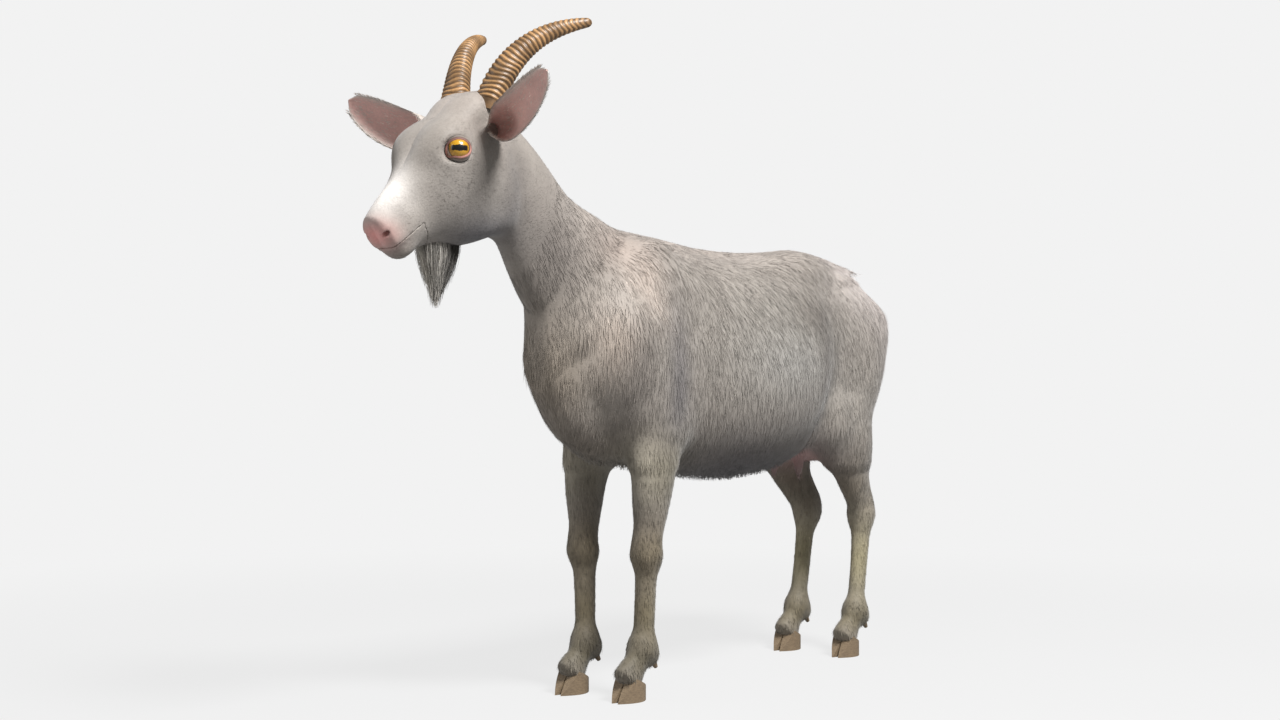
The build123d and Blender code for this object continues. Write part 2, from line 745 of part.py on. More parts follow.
# ---- feet: a pastern, two dewclaws behind it and two claws under it
def claw_pair(fetlock):
    """Two mirrored claws with a slit between them, toes pointing forwards."""
    toe = fetlock.Y - toe_ahead
    heel = toe + claw_length
    with BuildPart() as claws:
        for side in (-1, 1):
            inner = side * claw_slit / 2
            outer = side * (claw_slit / 2 + claw_width)
            with BuildPart(mode=Mode.PRIVATE) as claw:
                with BuildSketch(Plane.XY):
                    with BuildLine():
                        toe_point = (fetlock.X + inner + side * claw_width * 0.22, toe)
                        heel_point = (fetlock.X + inner + side * claw_width * 0.3, heel)
                        side_point = (fetlock.X + outer, toe + claw_length * 0.6)
                        Spline(toe_point, side_point, heel_point)
                        Spline(
                            heel_point,
                            (fetlock.X + inner, heel - claw_length * 0.3),
                            toe_point,
                        )
                    make_face()
                extrude(amount=claw_height + 4)
                slope = claw_height / (sin(radians(toe_slope)) / cos(radians(toe_slope)))
                with BuildSketch(Plane.YZ.offset(fetlock.X - 2 * claw_width)):
                    Polygon(
                        (toe, 0),
                        (toe + slope, claw_height),
                        (heel - 4, heel_height),
                        (heel, 0),
                        align=None,
                    )
                extrude(amount=4 * claw_width, mode=Mode.INTERSECT)
            add(claw.part)
    return claws.part


def dewclaw_pair(fetlock, seat):
    """Two small blunt cones behind the fetlock, face to face with the pastern."""
    with BuildPart() as cones:
        for side in (-1, 1):
            root = fetlock + Vector(side * fetlock_half_width * 0.55, fetlock_radius * 0.55, -16)
            way = Vector(0, 0.8, -1).normalized()
            with BuildSketch(Plane(origin=root, z_dir=way)):
                Circle(dewclaw_radius)
            with BuildSketch(Plane(origin=root + way * dewclaw_length, z_dir=way)):
                Circle(dewclaw_radius * 0.5)
            loft()
        add(seat, mode=Mode.SUBTRACT)
    return cones.part


for end_name, fetlock, toe in (("fore", fore_fetlock, fore_toe), ("hind", hind_fetlock, hind_toe)):
    claws = claw_pair(fetlock)
    with BuildPart() as pastern:
        add(limb(fetlock, toe, pastern_rings))
        add(condyle(fetlock, *fetlock_size))
        add(claws, mode=Mode.SUBTRACT)
    save_pair(pastern.part, f"{end_name}_pastern")
    save_pair(claws, f"{end_name}_hoof")
    save_pair(dewclaw_pair(fetlock, pastern.part), f"{end_name}_dewclaws")
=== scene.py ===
"""Looks of the standing nanny goat: skin, coat, horns, eyes, feet, light and camera.

Lengths are metres in the frame's own axes: +Z up, the goat faces -Y, its left is +X.
Tables of millimetres go through `mm`. The skin is drawn as fields that are negative
inside the animal, joined smoothly and turned into meshes on a regular grid.
"""

import json
import logging
import math
from dataclasses import dataclass
from enum import Enum

import bpy
import numpy as np
import openvdb as vdb
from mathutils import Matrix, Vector


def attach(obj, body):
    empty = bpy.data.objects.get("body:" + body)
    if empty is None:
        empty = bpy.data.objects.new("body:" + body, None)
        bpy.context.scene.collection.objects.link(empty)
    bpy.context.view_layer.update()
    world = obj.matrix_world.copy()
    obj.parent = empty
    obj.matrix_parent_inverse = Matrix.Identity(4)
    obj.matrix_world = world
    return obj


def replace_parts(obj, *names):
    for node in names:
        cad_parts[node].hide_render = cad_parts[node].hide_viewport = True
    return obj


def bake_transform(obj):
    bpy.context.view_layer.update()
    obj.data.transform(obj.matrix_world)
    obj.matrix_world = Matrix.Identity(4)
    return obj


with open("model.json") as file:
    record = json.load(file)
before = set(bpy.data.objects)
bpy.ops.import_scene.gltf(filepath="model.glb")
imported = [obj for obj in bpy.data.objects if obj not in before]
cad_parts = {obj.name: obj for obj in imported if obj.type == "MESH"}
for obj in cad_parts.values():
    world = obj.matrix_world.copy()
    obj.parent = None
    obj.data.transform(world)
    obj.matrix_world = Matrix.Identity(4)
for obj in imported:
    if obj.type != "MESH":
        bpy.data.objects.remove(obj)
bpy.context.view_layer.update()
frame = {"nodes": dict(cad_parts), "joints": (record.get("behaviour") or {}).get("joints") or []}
log = logging.getLogger("goat")

Array = np.ndarray
Material, Tree, Socket = bpy.types.Material, bpy.types.NodeTree, bpy.types.NodeSocket
Point = tuple[float, float, float]
Ring = tuple[float, float, float, float]
SIDES: tuple[tuple[str, int], ...] = (("left", 1), ("right", -1))


def mm(*values: float) -> Array:
    """Turn millimetres into metres.

    Args:
        values: Lengths or coordinates in millimetres.

    Returns:
        The same numbers in metres, as one array.
    """
    return np.array(values, float) / 1000.0


def joint(name: str) -> Array:
    """Look up the centre of a joint in the frame.

    Args:
        name: Joint name in the record.

    Returns:
        Its place in metres.
    """
    return np.array(next(j["pos_m"] for j in frame["joints"] if j["name"] == name))


def unit(vectors: Array) -> Array:
    """Bring vectors to length one.

    Args:
        vectors: Vectors along the last axis.

    Returns:
        Their directions.
    """
    return vectors / np.maximum(np.linalg.norm(vectors, axis=-1, keepdims=True), 1e-9)


def on_left(points: Array) -> Array:
    """Mirror the places of the right side to the left.

    Args:
        points: Places, one per row.

    Returns:
        The same places with x measured outwards.
    """
    return np.abs(points) * [1, 0, 0] + points * [0, 1, 1]


# ------------------------------------------------------------------ landmarks
@dataclass(frozen=True)
class HeadAxis:
    """Line from the back of the skull to the nose, with lengths in millimetres."""

    skull: tuple[float, float] = (-400.0, 838.0)
    muzzle: tuple[float, float] = (-600.0, 674.0)
    mouth_line: float = -8.0
    mouth_corner: float = 199.0
    eye: Point = (52.0, -505.0, 809.0)
    gaze_forward: float = 36.0

    def way(self) -> Array:
        """Unit vector from the skull to the nose, as (y, z).

        Returns:
            The two parts.
        """
        run = np.array(self.muzzle) - np.array(self.skull)
        return run / np.linalg.norm(run)

    def point(self, along: float, up: float, out: float = 0.0) -> Array:
        """Place on the head.

        Args:
            along: Millimetres from the back of the skull towards the nose.
            up: Millimetres square to the axis, towards the forehead.
            out: Millimetres to the goat's left.

        Returns:
            The place in metres.
        """
        d = self.way()
        y, z = np.array(self.skull) + along * d + up * np.array([d[1], -d[0]])
        return mm(out, y, z)


HEAD = HeadAxis()
NECK_BASE, POLL = joint("neck_pitch"), joint("head_nod")
NECK_WAY = (POLL - NECK_BASE) / np.linalg.norm(POLL - NECK_BASE)
HEAD_CUT = mm(0, -300, 735)
HEAD_CUT_WAY = (NECK_WAY + np.array([0, -1, 0])) / np.linalg.norm(NECK_WAY + np.array([0, -1, 0]))


# ------------------------------------------------------------------ fields
class Space:
    """Regular grid over a box in which fields are sampled."""

    def __init__(self, low: Array, high: Array, step: float) -> None:
        """Lay out the grid.

        Args:
            low: Lowest corner in metres.
            high: Highest corner in metres.
            step: Spacing in metres.
        """
        self.low, self.step = np.array(low, float), step
        counts = np.ceil((np.array(high) - self.low) / step).astype(int) + 1
        lines = [self.low[i] + step * np.arange(counts[i]) for i in range(3)]
        self.x = lines[0].astype(np.float32)[:, None, None]
        self.y = lines[1].astype(np.float32)[None, :, None]
        self.z = lines[2].astype(np.float32)[None, None, :]


def smooth_values(shares: list[float], values: list[float], at: Array) -> Array:
    """Draw a smooth curve through values given at a few shares and read it.

    Args:
        shares: Increasing positions from 0 to 1.
        values: Value at each position.
        at: Positions wanted.

    Returns:
        The curve's value at each position.
    """
    s, v = np.array(shares), np.array(values)
    slope = np.gradient(v, s)
    dense = np.linspace(0, 1, 240)
    i = np.clip(np.searchsorted(s, dense, side="right") - 1, 0, len(s) - 2)
    gap = s[i + 1] - s[i]
    t = (dense - s[i]) / gap
    curve = (
        (2 * t**3 - 3 * t**2 + 1) * v[i]
        + (t**3 - 2 * t**2 + t) * gap * slope[i]
        + (-2 * t**3 + 3 * t**2) * v[i + 1]
        + (t**3 - t**2) * gap * slope[i + 1]
    )
    return np.interp(at, dense, curve).astype(np.float32)


@dataclass(frozen=True)
class Loft:
    """Ellipses along a line in the animal's side plane.

    Attributes:
        start: First end in metres.
        end: Last end in metres.
        rings: Share of the length, half-width, half-depth and shift, in millimetres.
        cap: How far each end bulges, in millimetres.
        lean: Share by which the section widens towards the shift's positive side.
    """

    start: Array
    end: Array
    rings: tuple[Ring, ...]
    cap: float = 15.0
    lean: float = 0.0

    def field(self, space: Space) -> Array:
        """Sample the loft on a grid; negative inside.

        Args:
            space: The grid.

        Returns:
            The field.
        """
        run = (self.end - self.start)[1:]
        length = float(np.linalg.norm(run))
        way = run / length
        y, z = space.y - self.start[1], space.z - self.start[2]
        along = y * way[0] + z * way[1]
        across = y * way[1] - z * way[0]
        share = np.clip(along / length, 0, 1)
        over = np.maximum(np.maximum(-along, along - length), 0) / (self.cap / 1000)
        shares = [ring[0] for ring in self.rings]
        width, depth, shift = (
            smooth_values(shares, [ring[k] / 1000 for ring in self.rings], share)
            for k in (1, 2, 3)
        )
        deep = (across - shift) / depth
        middle = self.start[0] + (self.end[0] - self.start[0]) * share
        side = (space.x - middle) / (width * (1 + self.lean * np.clip(deep, -1, 1)))
        return (np.sqrt(side**2 + deep**2 + over**2) - 1) * np.minimum(width, depth)


@dataclass(frozen=True)
class Blob:
    """Ellipsoid turned about X: a muscle, a bone under the skin or a hollow.

    Attributes:
        centre: Middle in metres.
        radii: Half-sizes in millimetres: sideways, along its length, square to both.
        pitch: Degrees that its length rises towards the rear.
    """

    centre: Array
    radii: Point
    pitch: float = 0.0

    def field(self, space: Space) -> Array:
        """Sample the blob on a grid; negative inside.

        Args:
            space: The grid.

        Returns:
            The field.
        """
        turn = math.radians(self.pitch)
        y, z = space.y - self.centre[1], space.z - self.centre[2]
        a = (y * math.cos(turn) + z * math.sin(turn)) / (self.radii[1] / 1000)
        b = (z * math.cos(turn) - y * math.sin(turn)) / (self.radii[2] / 1000)
        c = (space.x - self.centre[0]) / (self.radii[0] / 1000)
        return (np.sqrt(a**2 + b**2 + c**2) - 1) * (min(self.radii) / 1000)


def join(a: Array, b: Array, blend: float) -> Array:
    """Union of two fields with a fillet of about `blend` metres.

    Args:
        a: One field.
        b: The other.
        blend: Size of the fillet in metres.

    Returns:
        The joined field.
    """
    h = np.maximum(blend - np.abs(a - b), 0) / blend
    return np.minimum(a, b) - h * h * blend / 4


def carve(a: Array, b: Array, blend: float) -> Array:
    """Field `a` without field `b`, with the edge rounded by about `blend` metres.

    Args:
        a: Field to cut.
        b: Field to take away.
        blend: Size of the rounding in metres.

    Returns:
        The cut field.
    """
    return -join(-a, b, blend)


def union(space: Space, shapes: list[tuple[Loft | Blob, float]]) -> Array:
    """Join shapes one after another.

    Args:
        space: Grid to sample.
        shapes: Each shape with the fillet, in millimetres, that joins it to the rest.

    Returns:
        The joined field.
    """
    total = shapes[0][0].field(space)
    for shape, blend in shapes[1:]:
        total = join(total, shape.field(space), blend / 1000)
    return total


# ------------------------------------------------------------------ coat colours and painted light and shade
def linear(hex_colour: str) -> tuple[float, float, float, float]:
    """Turn an sRGB hex colour into linear values.

    Args:
        hex_colour: Colour such as "#8c8982".

    Returns:
        Linear red, green and blue, and an alpha of one.
    """
    parts = (int(hex_colour[i : i + 2], 16) / 255 for i in (1, 3, 5))
    r, g, b = (c / 12.92 if c <= 0.04045 else ((c + 0.055) / 1.055) ** 2.4 for c in parts)
    return (r, g, b, 1.0)


def tone(hex_colour: str) -> Array:
    """Turn an sRGB hex colour into linear red, green and blue.

    Args:
        hex_colour: Colour such as "#8c8982".

    Returns:
        The three values, as an array to reckon with.
    """
    return np.array(linear(hex_colour)[:3])


def mixed(first: Array, second: Array, share: Array) -> Array:
    """Mix two colours or two sets of colours.

    Args:
        first: Colour where the share is zero.
        second: Colour where the share is one.
        share: Share of the second colour at each place.

    Returns:
        The mixed colours.
    """
    return first * (1 - share) + second * share


@dataclass(frozen=True)
class Patch:
    """Soft-edged patch of colour, the same on both sides of the animal: some give the coat's own
    colour, some are painted light and shade.

    Attributes:
        colour: sRGB hex.
        centre: Middle in millimetres, with x measured outwards.
        radii: Distances in millimetres at which the colour has faded.
        strength: Share of the colour at the middle.
    """

    colour: str
    centre: Point
    radii: Point
    strength: float = 1.0


BASE_COAT = "#9a928a"
# the coat's own colours, and painted highlights and shade that give the body its form
COAT_AND_PAINTED_LIGHT_PATCHES: tuple[Patch, ...] = (
    # painted highlight: the top of the back, the rump and its side are lighter where the key light
    # falls
    Patch("#b3a8a0", (0, 200, 740), (80, 420, 60), 0.9),
    Patch("#d3c9c4", (50, 540, 665), (120, 110, 70), 0.95),
    Patch("#c4bab4", (90, 590, 560), (90, 60, 90), 0.7),
    Patch("#8b8780", (150, 180, 560), (120, 260, 120), 0.7),
    Patch("#a5a29d", (150, 190, 520), (90, 110, 55), 0.7),
    # painted shade on the flank below the hip
    Patch("#6f6861", (120, 285, 610), (60, 60, 30), 0.7),
    Patch("#69625c", (140, 315, 520), (60, 32, 110), 0.65),
    # painted shade under the belly
    Patch("#4a474b", (60, 180, 335), (200, 330, 75), 0.95),
    # painted shade in a band behind the shoulder
    Patch("#5d5a60", (135, -72, 470), (60, 30, 150), 0.75),
    Patch("#8c7c73", (30, -150, 690), (80, 70, 40), 0.6),
    # painted highlight along the ridge of the shoulder
    Patch("#c4b5a9", (80, -129, 640), (60, 40, 60), 0.6),
    Patch("#c8b9ac", (110, -215, 555), (60, 34, 60), 0.75),
    Patch("#c9bbad", (120, -275, 475), (50, 32, 50), 0.8),
    Patch("#7d756f", (110, -170, 500), (50, 26, 80), 0.6),
    Patch("#8b7f70", (30, -285, 500), (90, 60, 100), 0.7),
    Patch("#6a5f52", (60, -250, 380), (110, 120, 45), 0.8),
    # painted shade at the back of the neck's base, painted highlight low on the front of the neck
    Patch("#6f6863", (50, -300, 690), (70, 60, 90), 0.75),
    Patch("#a39b92", (40, -365, 600), (60, 30, 110), 0.7),
    Patch("#8d8674", (80, -90, 350), (80, 90, 60), 0.8),
    # painted highlight on the front of the elbow
    Patch("#b3ab9b", (95, -145, 350), (30, 22, 50), 0.7),
    # olive-brown lower fore leg; its darker knee and fetlock are partly painted shade
    Patch("#675b42", (65, -107, 225), (60, 60, 60), 0.9),
    Patch("#776c52", (62, -107, 130), (60, 60, 60), 0.9),
    Patch("#5b5441", (58, -120, 60), (60, 80, 45), 0.9),
    Patch("#979189", (110, 440, 450), (70, 110, 90), 0.8),
    # olive-brown gaskin and lower hind leg; the darker gaskin and fetlock are partly painted shade
    Patch("#776c5b", (70, 480, 320), (70, 90, 70), 0.85),
    Patch("#9d9474", (62, 505, 170), (60, 60, 80), 0.9),
    Patch("#6c634b", (63, 485, 65), (60, 80, 45), 0.9),
    # painted shade on the neck behind the jaw
    Patch("#56504f", (52, -385, 740), (45, 32, 90), 0.7),
    Patch("#aba098", (0, -455, 880), (50, 50, 40), 0.8),
    Patch("#837a73", (40, -430, 835), (30, 30, 50), 0.7),
    Patch("#7c7772", (50, -470, 755), (50, 90, 60), 0.6),
    Patch("#a39b94", (0, -500, 830), (30, 50, 40), 0.6),
    # painted highlight on the nose bridge
    Patch("#fbf6f1", (0, -578, 742), (22, 56, 42), 0.95),
    Patch("#8b857f", (44, -520, 768), (20, 34, 22), 0.4),
    # painted shade under the jaw, bluish grey
    Patch("#5f6068", (30, -440, 690), (60, 70, 34), 0.75),
    Patch("#5d554d", (0, -560, 645), (35, 42, 16), 0.8),
    Patch("#f0a9a2", (0, -612, 684), (26, 26, 19), 1.0),
    Patch("#d9a29f", (0, 400, 378), (46, 84, 44), 1.0),
)


def coat_tones_with_painted_light(points: Array) -> Array:
    """Coat colour at each place, with the light and shade that the patches paint into it.

    Args:
        points: Places in metres, one per row.

    Returns:
        Linear red, green and blue, one row each.
    """
    at = on_left(points) * 1000
    tones = np.tile(tone(BASE_COAT), (len(points), 1))
    for patch in COAT_AND_PAINTED_LIGHT_PATCHES:
        reach = (((at - patch.centre) / patch.radii) ** 2).sum(1)
        share = (patch.strength * np.exp(-reach))[:, None]
        tones = mixed(tones, tone(patch.colour), share)
    return tones


# ------------------------------------------------------------------ meshes
def add_tone(mesh: bpy.types.Mesh, tones: Array) -> None:
    """Store a colour per vertex, which the coat finish reads.

    Args:
        mesh: Mesh to colour.
        tones: Linear red, green and blue of each vertex.
    """
    layer = mesh.color_attributes.new("coat_tone", "FLOAT_COLOR", "POINT")
    rgba = np.ones((len(tones), 4), np.float32)
    rgba[:, :3] = tones
    layer.data.foreach_set("color", rgba.ravel())


def new_mesh(
    name: str,
    points: Array,
    faces: list | Array,
    finish: Material,
    normals: Array | None = None,
) -> bpy.types.Object:
    """Make a smooth-shaded mesh object.

    Args:
        name: Object name.
        points: Vertices in metres.
        faces: Vertex numbers of each face.
        finish: Its material.
        normals: Shading normal of each vertex, where the mesh's own would show a seam.

    Returns:
        The linked object.
    """
    mesh = bpy.data.meshes.new(name)
    mesh.from_pydata(points.tolist(), [], faces.tolist() if isinstance(faces, Array) else faces)
    mesh.materials.append(finish)
    mesh.shade_smooth()
    if normals is not None:
        mesh.normals_split_custom_set_from_vertices(normals.tolist())
    thing = bpy.data.objects.new(name, mesh)
    bpy.context.scene.collection.objects.link(thing)
    return thing


def ring_faces(rings: int, around: int) -> Array:
    """Quads between neighbouring rings of vertices, each ring closed on itself.

    Args:
        rings: Number of rings.
        around: Vertices of each ring.

    Returns:
        Four vertex numbers per quad.
    """
    grid = np.arange(rings * around).reshape(rings, around)
    turned = np.roll(grid, -1, axis=1)
    return np.stack([grid[:-1], turned[:-1], turned[1:], grid[1:]], -1).reshape(-1, 4)


class Skin:
    """Surface of a field, from which pieces are cut that share their border vertices."""

    def __init__(self, values: Array, space: Space, mirrored: bool) -> None:
        """Turn a field into a mesh.

        Args:
            values: Field on the grid, negative inside.
            space: The grid.
            mirrored: Whether the grid is the left half of a shape that is the same on both sides.
        """
        low = space.low.copy()
        if mirrored:
            values = np.concatenate([values[:0:-1], values])
            low[0] -= space.step * (values.shape[0] // 2)
        grid = vdb.FloatGrid(background=0.05)
        grid.copyFromArray(np.ascontiguousarray(values, np.float32), tolerance=0)
        points, quads = grid.convertToQuads(isovalue=0.0)
        self.points = points.astype(float) * space.step + low
        self.quads = quads.astype(int)
        self._measure()

    def _measure(self) -> None:
        """Work out the shading normals and face centres."""
        mesh = bpy.data.meshes.new("measure")
        mesh.from_pydata(self.points.tolist(), [], self.quads.tolist())
        normals = np.zeros(len(self.points) * 3, np.float32)
        mesh.vertex_normals.foreach_get("vector", normals)
        self.normals = normals.reshape(-1, 3)
        self.centres = self.points[self.quads].mean(1)
        bpy.data.meshes.remove(mesh)

    def follow(self, values: Array, space: Space, reach: float) -> None:
        """Shade the places that lie on an uncut field as if nothing had been cut.

        Args:
            values: The uncut field.
            space: Its grid.
            reach: How near to the field a place must lie, in metres.
        """
        slopes = np.stack([values, *np.gradient(values)], -1)
        at = (on_left(self.points) - space.low) / space.step
        at = np.clip(at, 0, np.array(values.shape) - 1.001)
        first = at.astype(int)
        share = at - first
        read = np.zeros((len(at), 4))
        for corner in np.ndindex(2, 2, 2):
            weight = np.where(corner, share, 1 - share).prod(1, keepdims=True)
            read += weight * slopes[tuple((first + corner).T)]
        ways = read[:, 1:] * np.where(self.points[:, :1] < 0, [-1, 1, 1], 1)
        near = np.abs(read[:, 0]) < reach
        self.normals[near] = unit(ways[near])

    def mirrored(self) -> "Skin":
        """The same surface on the other side of the animal.

        Returns:
            The mirrored skin.
        """
        twin = object.__new__(Skin)
        twin.points = self.points * [-1, 1, 1]
        twin.quads = self.quads[:, ::-1]
        twin.normals = self.normals * [-1, 1, 1]
        twin.centres = self.centres * [-1, 1, 1]
        return twin

    def piece(self, name: str, kept: Array, finish: Material) -> bpy.types.Object:
        """Cut out some faces as an object with coat colours and painted light and shade.

        Args:
            name: Object name.
            kept: Which faces to keep.
            finish: Its material.

        Returns:
            The linked object.
        """
        faces = self.quads[kept]
        used, numbers = np.unique(faces, return_inverse=True)
        thing = new_mesh(
            name, self.points[used], numbers.reshape(faces.shape), finish, self.normals[used]
        )
        add_tone(thing.data, coat_tones_with_painted_light(self.points[used]))
        return thing


# ------------------------------------------------------------------ node helper
def node(
    tree: Tree,
    kind: str,
    settings: dict | None = None,
    inputs: dict | None = None,
) -> bpy.types.Node:
    """Add a node with its settings, values and links.

    Args:
        tree: Node tree to add to.
        kind: Node type.
        settings: Attributes of the node.
        inputs: Value or output socket for each input, by name or number.

    Returns:
        The node.
    """
    made = tree.nodes.new(kind)
    for key, value in (settings or {}).items():
        setattr(made, key, value)
    for key, value in (inputs or {}).items():
        if isinstance(value, Socket):
            tree.links.new(value, made.inputs[key])
        else:
            made.inputs[key].default_value = value
    return made


def blank_material(
    name: str, values: dict
) -> tuple[Material, Tree, bpy.types.Node]:
    """Start a material with a Principled shader on its output.

    Args:
        name: Material name.
        values: Value of each shader input that isn't left as it is.

    Returns:
        The material, its node tree and its shader.
    """
    material = bpy.data.materials.new(name)
    material.use_nodes = True
    tree = material.node_tree
    shader = tree.nodes["Principled BSDF"]
    for key, value in values.items():
        shader.inputs[key].default_value = value
    return material, tree, shader


def noise(
    tree: Tree, place: Socket, scale: float, detail: float
) -> Socket:
    """Add a noise pattern.

    Args:
        tree: Node tree to add to.
        place: Coordinates that it is read at.
        scale: Waves per metre.
        detail: Octaves.

    Returns:
        Its value, from 0 to 1.
    """
    made = node(
        tree, "ShaderNodeTexNoise", {}, {"Vector": place, "Scale": scale, "Detail": detail}
    )
    return made.outputs["Fac"]


def ranged(
    tree: Tree,
    value: Socket,
    to: tuple[float | Socket, float | Socket],
    span: tuple[float, float] = (0.0, 1.0),
    curve: str = "LINEAR",
) -> Socket:
    """Map a value from one range to another.

    Args:
        tree: Node tree to add to.
        value: The value.
        to: Results, or sockets that give them, at the two ends.
        span: Values at the two ends.
        curve: Interpolation type of the node.

    Returns:
        The mapped value.
    """
    limits = {"From Min": span[0], "From Max": span[1], "To Min": to[0], "To Max": to[1]}
    settings = {"interpolation_type": curve}
    return node(tree, "ShaderNodeMapRange", settings, {"Value": value, **limits}).outputs[0]


def roughen(
    tree: Tree,
    shader: bpy.types.Node,
    height: Socket,
    depth_mm: float,
    strength: float,
) -> None:
    """Let a shader's surface rise and fall.

    Args:
        tree: Node tree of the shader.
        shader: The shader.
        height: Pattern from 0 to 1.
        depth_mm: Depth of the bump.
        strength: How much of it shows.
    """
    inputs = {"Height": height, "Distance": depth_mm / 1000, "Strength": strength}
    bump = node(tree, "ShaderNodeBump", {}, inputs)
    tree.links.new(bump.outputs[0], shader.inputs["Normal"])


def colour_by_tones(
    tree: Tree,
    shader: bpy.types.Node,
    mottle: Socket,
    span: tuple[float, float],
    gain: tuple[float, float],
) -> None:
    """Colour a shader by the tones stored in the mesh, varied by a mottle.

    Args:
        tree: Node tree of the shader.
        shader: The shader.
        mottle: Pattern that varies the tones.
        span: Values of the pattern that give the least and the most gain.
        gain: Least and most gain.
    """
    stored = node(tree, "ShaderNodeAttribute", {"attribute_name": "coat_tone"})
    inputs = {0: stored.outputs["Color"], "Scale": ranged(tree, mottle, gain, span)}
    tinted = node(tree, "ShaderNodeVectorMath", {"operation": "SCALE"}, inputs)
    tree.links.new(tinted.outputs[0], shader.inputs["Base Color"])


# ------------------------------------------------------------------ finishes
@dataclass(frozen=True)
class Coat:
    """Short lying hair: the eye gets soft mottled grey with a dry sheen at the edges."""

    name: str = "goat hair"
    roughness: float = 0.62
    sheen: float = 0.25
    mottle: float = 0.16
    grain_mm: float = 3.0
    bump_mm: float = 0.5
    clouds_per_metre: float = 28.0

    def make(self) -> Material:
        """Build the material.

        Returns:
            The material.
        """
        values = {
            "Roughness": self.roughness,
            "Specular IOR Level": 0.3,
            "Sheen Weight": self.sheen,
        }
        material, tree, shader = blank_material(self.name, values)
        place = node(tree, "ShaderNodeTexCoord").outputs["Object"]
        grain = noise(tree, place, 1000 / self.grain_mm, 5.0)
        clouds = noise(tree, place, self.clouds_per_metre, 3.0)
        both = node(tree, "ShaderNodeMath", {"operation": "ADD"}, {0: grain, 1: clouds})
        gain = (1 - self.mottle, 1 + self.mottle)
        colour_by_tones(tree, shader, both.outputs[0], (0.6, 1.4), gain)
        roughen(tree, shader, grain, self.bump_mm, 0.7)
        return material


@dataclass(frozen=True)
class Plain:
    """Even substance with a fine mottle and bump, read from object coordinates.

    Attributes:
        name: Material name.
        colour: sRGB hex of the lighter parts.
        dark: sRGB hex of the darker parts.
        roughness: Surface roughness.
        grain_mm: Size of the mottle.
        bump_mm: Depth of the bump.
        subsurface: Share of light that goes under the surface.
        stretch: Scale of the pattern along x, y and z.
    """

    name: str
    colour: str
    dark: str
    roughness: float = 0.5
    grain_mm: float = 6.0
    bump_mm: float = 0.2
    subsurface: float = 0.0
    stretch: Point = (1.0, 1.0, 1.0)

    def make(self) -> Material:
        """Build the material.

        Returns:
            The material.
        """
        values = {"Roughness": self.roughness}
        if self.subsurface:
            values["Subsurface Weight"] = self.subsurface
            values["Subsurface Radius"] = (0.004, 0.0015, 0.001)
            values["Subsurface Scale"] = 1.0
        material, tree, shader = blank_material(self.name, values)
        place = node(tree, "ShaderNodeTexCoord").outputs["Object"]
        spread = node(tree, "ShaderNodeMapping", {}, {"Vector": place, "Scale": self.stretch})
        grain = noise(tree, spread.outputs[0], 1000 / self.grain_mm, 4.0)
        tint = node(
            tree,
            "ShaderNodeMix",
            {"data_type": "RGBA"},
            {0: grain, 6: linear(self.dark), 7: linear(self.colour)},
        )
        tree.links.new(tint.outputs[2], shader.inputs["Base Color"])
        roughen(tree, shader, grain, self.bump_mm, 0.8)
        return material


@dataclass(frozen=True)
class Toned:
    """Substance that takes its colour from the piece's tones, as horn and eyes do.

    Attributes:
        name: Material name.
        roughness: Surface roughness.
        wetness: Share of a clear wet layer.
        grain_mm: Size of the mottle.
    """

    name: str
    roughness: float
    wetness: float = 0.0
    grain_mm: float = 4.0

    def make(self) -> Material:
        """Build the material.

        Returns:
            The material.
        """
        values = {
            "Roughness": self.roughness,
            "Coat Weight": self.wetness,
            "Coat Roughness": 0.05,
        }
        material, tree, shader = blank_material(self.name, values)
        place = node(tree, "ShaderNodeTexCoord").outputs["Object"]
        grain = noise(tree, place, 1000 / self.grain_mm, 4.0)
        colour_by_tones(tree, shader, grain, (0.3, 0.7), (0.82, 1.15))
        roughen(tree, shader, grain, 0.2, 0.5)
        return material


# ------------------------------------------------------------------ hair
class Lay(Enum):
    """Which way the hair of a region lies."""

    TRUNK = "back and down"
    NECK = "down the neck"
    HEAD = "from the nose to the poll"
    LEG = "straight down"


def hair_way(points: Array, lay: Lay) -> Array:
    """Direction in which hair lies at each place, before it is laid on the skin.

    Args:
        points: Places in metres.
        lay: Which region they belong to.

    Returns:
        One direction per place.
    """
    ways = np.zeros_like(points)
    out, z = np.abs(points[:, 0]), points[:, 2]
    if lay is Lay.TRUNK:
        # below the back line, ahead of the barrel's middle, and on the upper legs
        low = np.clip((0.73 - z) / 0.1, 0, 1)
        front = np.clip((0.12 - points[:, 1]) / 0.2, 0, 1)
        legs = np.clip((0.60 - z) / 0.1, 0, 1)
        ways[:, 1] = (1.0 - 0.55 * low) * (1 - 0.7 * front * low) * (1 - 0.6 * legs)
        ways[:, 2] = -0.2 - 0.8 * low
    elif lay is Lay.NECK:
        ways[:] = -NECK_WAY * [0, 1, 1] + [0, 0.1, -0.7]
    elif lay is Lay.HEAD:
        back = HEAD.way()
        ways[:, 1] = -back[0]
        ways[:, 2] = -back[1] - 12 * np.clip(out - 0.012, 0, 0.05)
    else:
        ways[:, 1] = 0.12
        ways[:, 2] = -1.0
    return ways


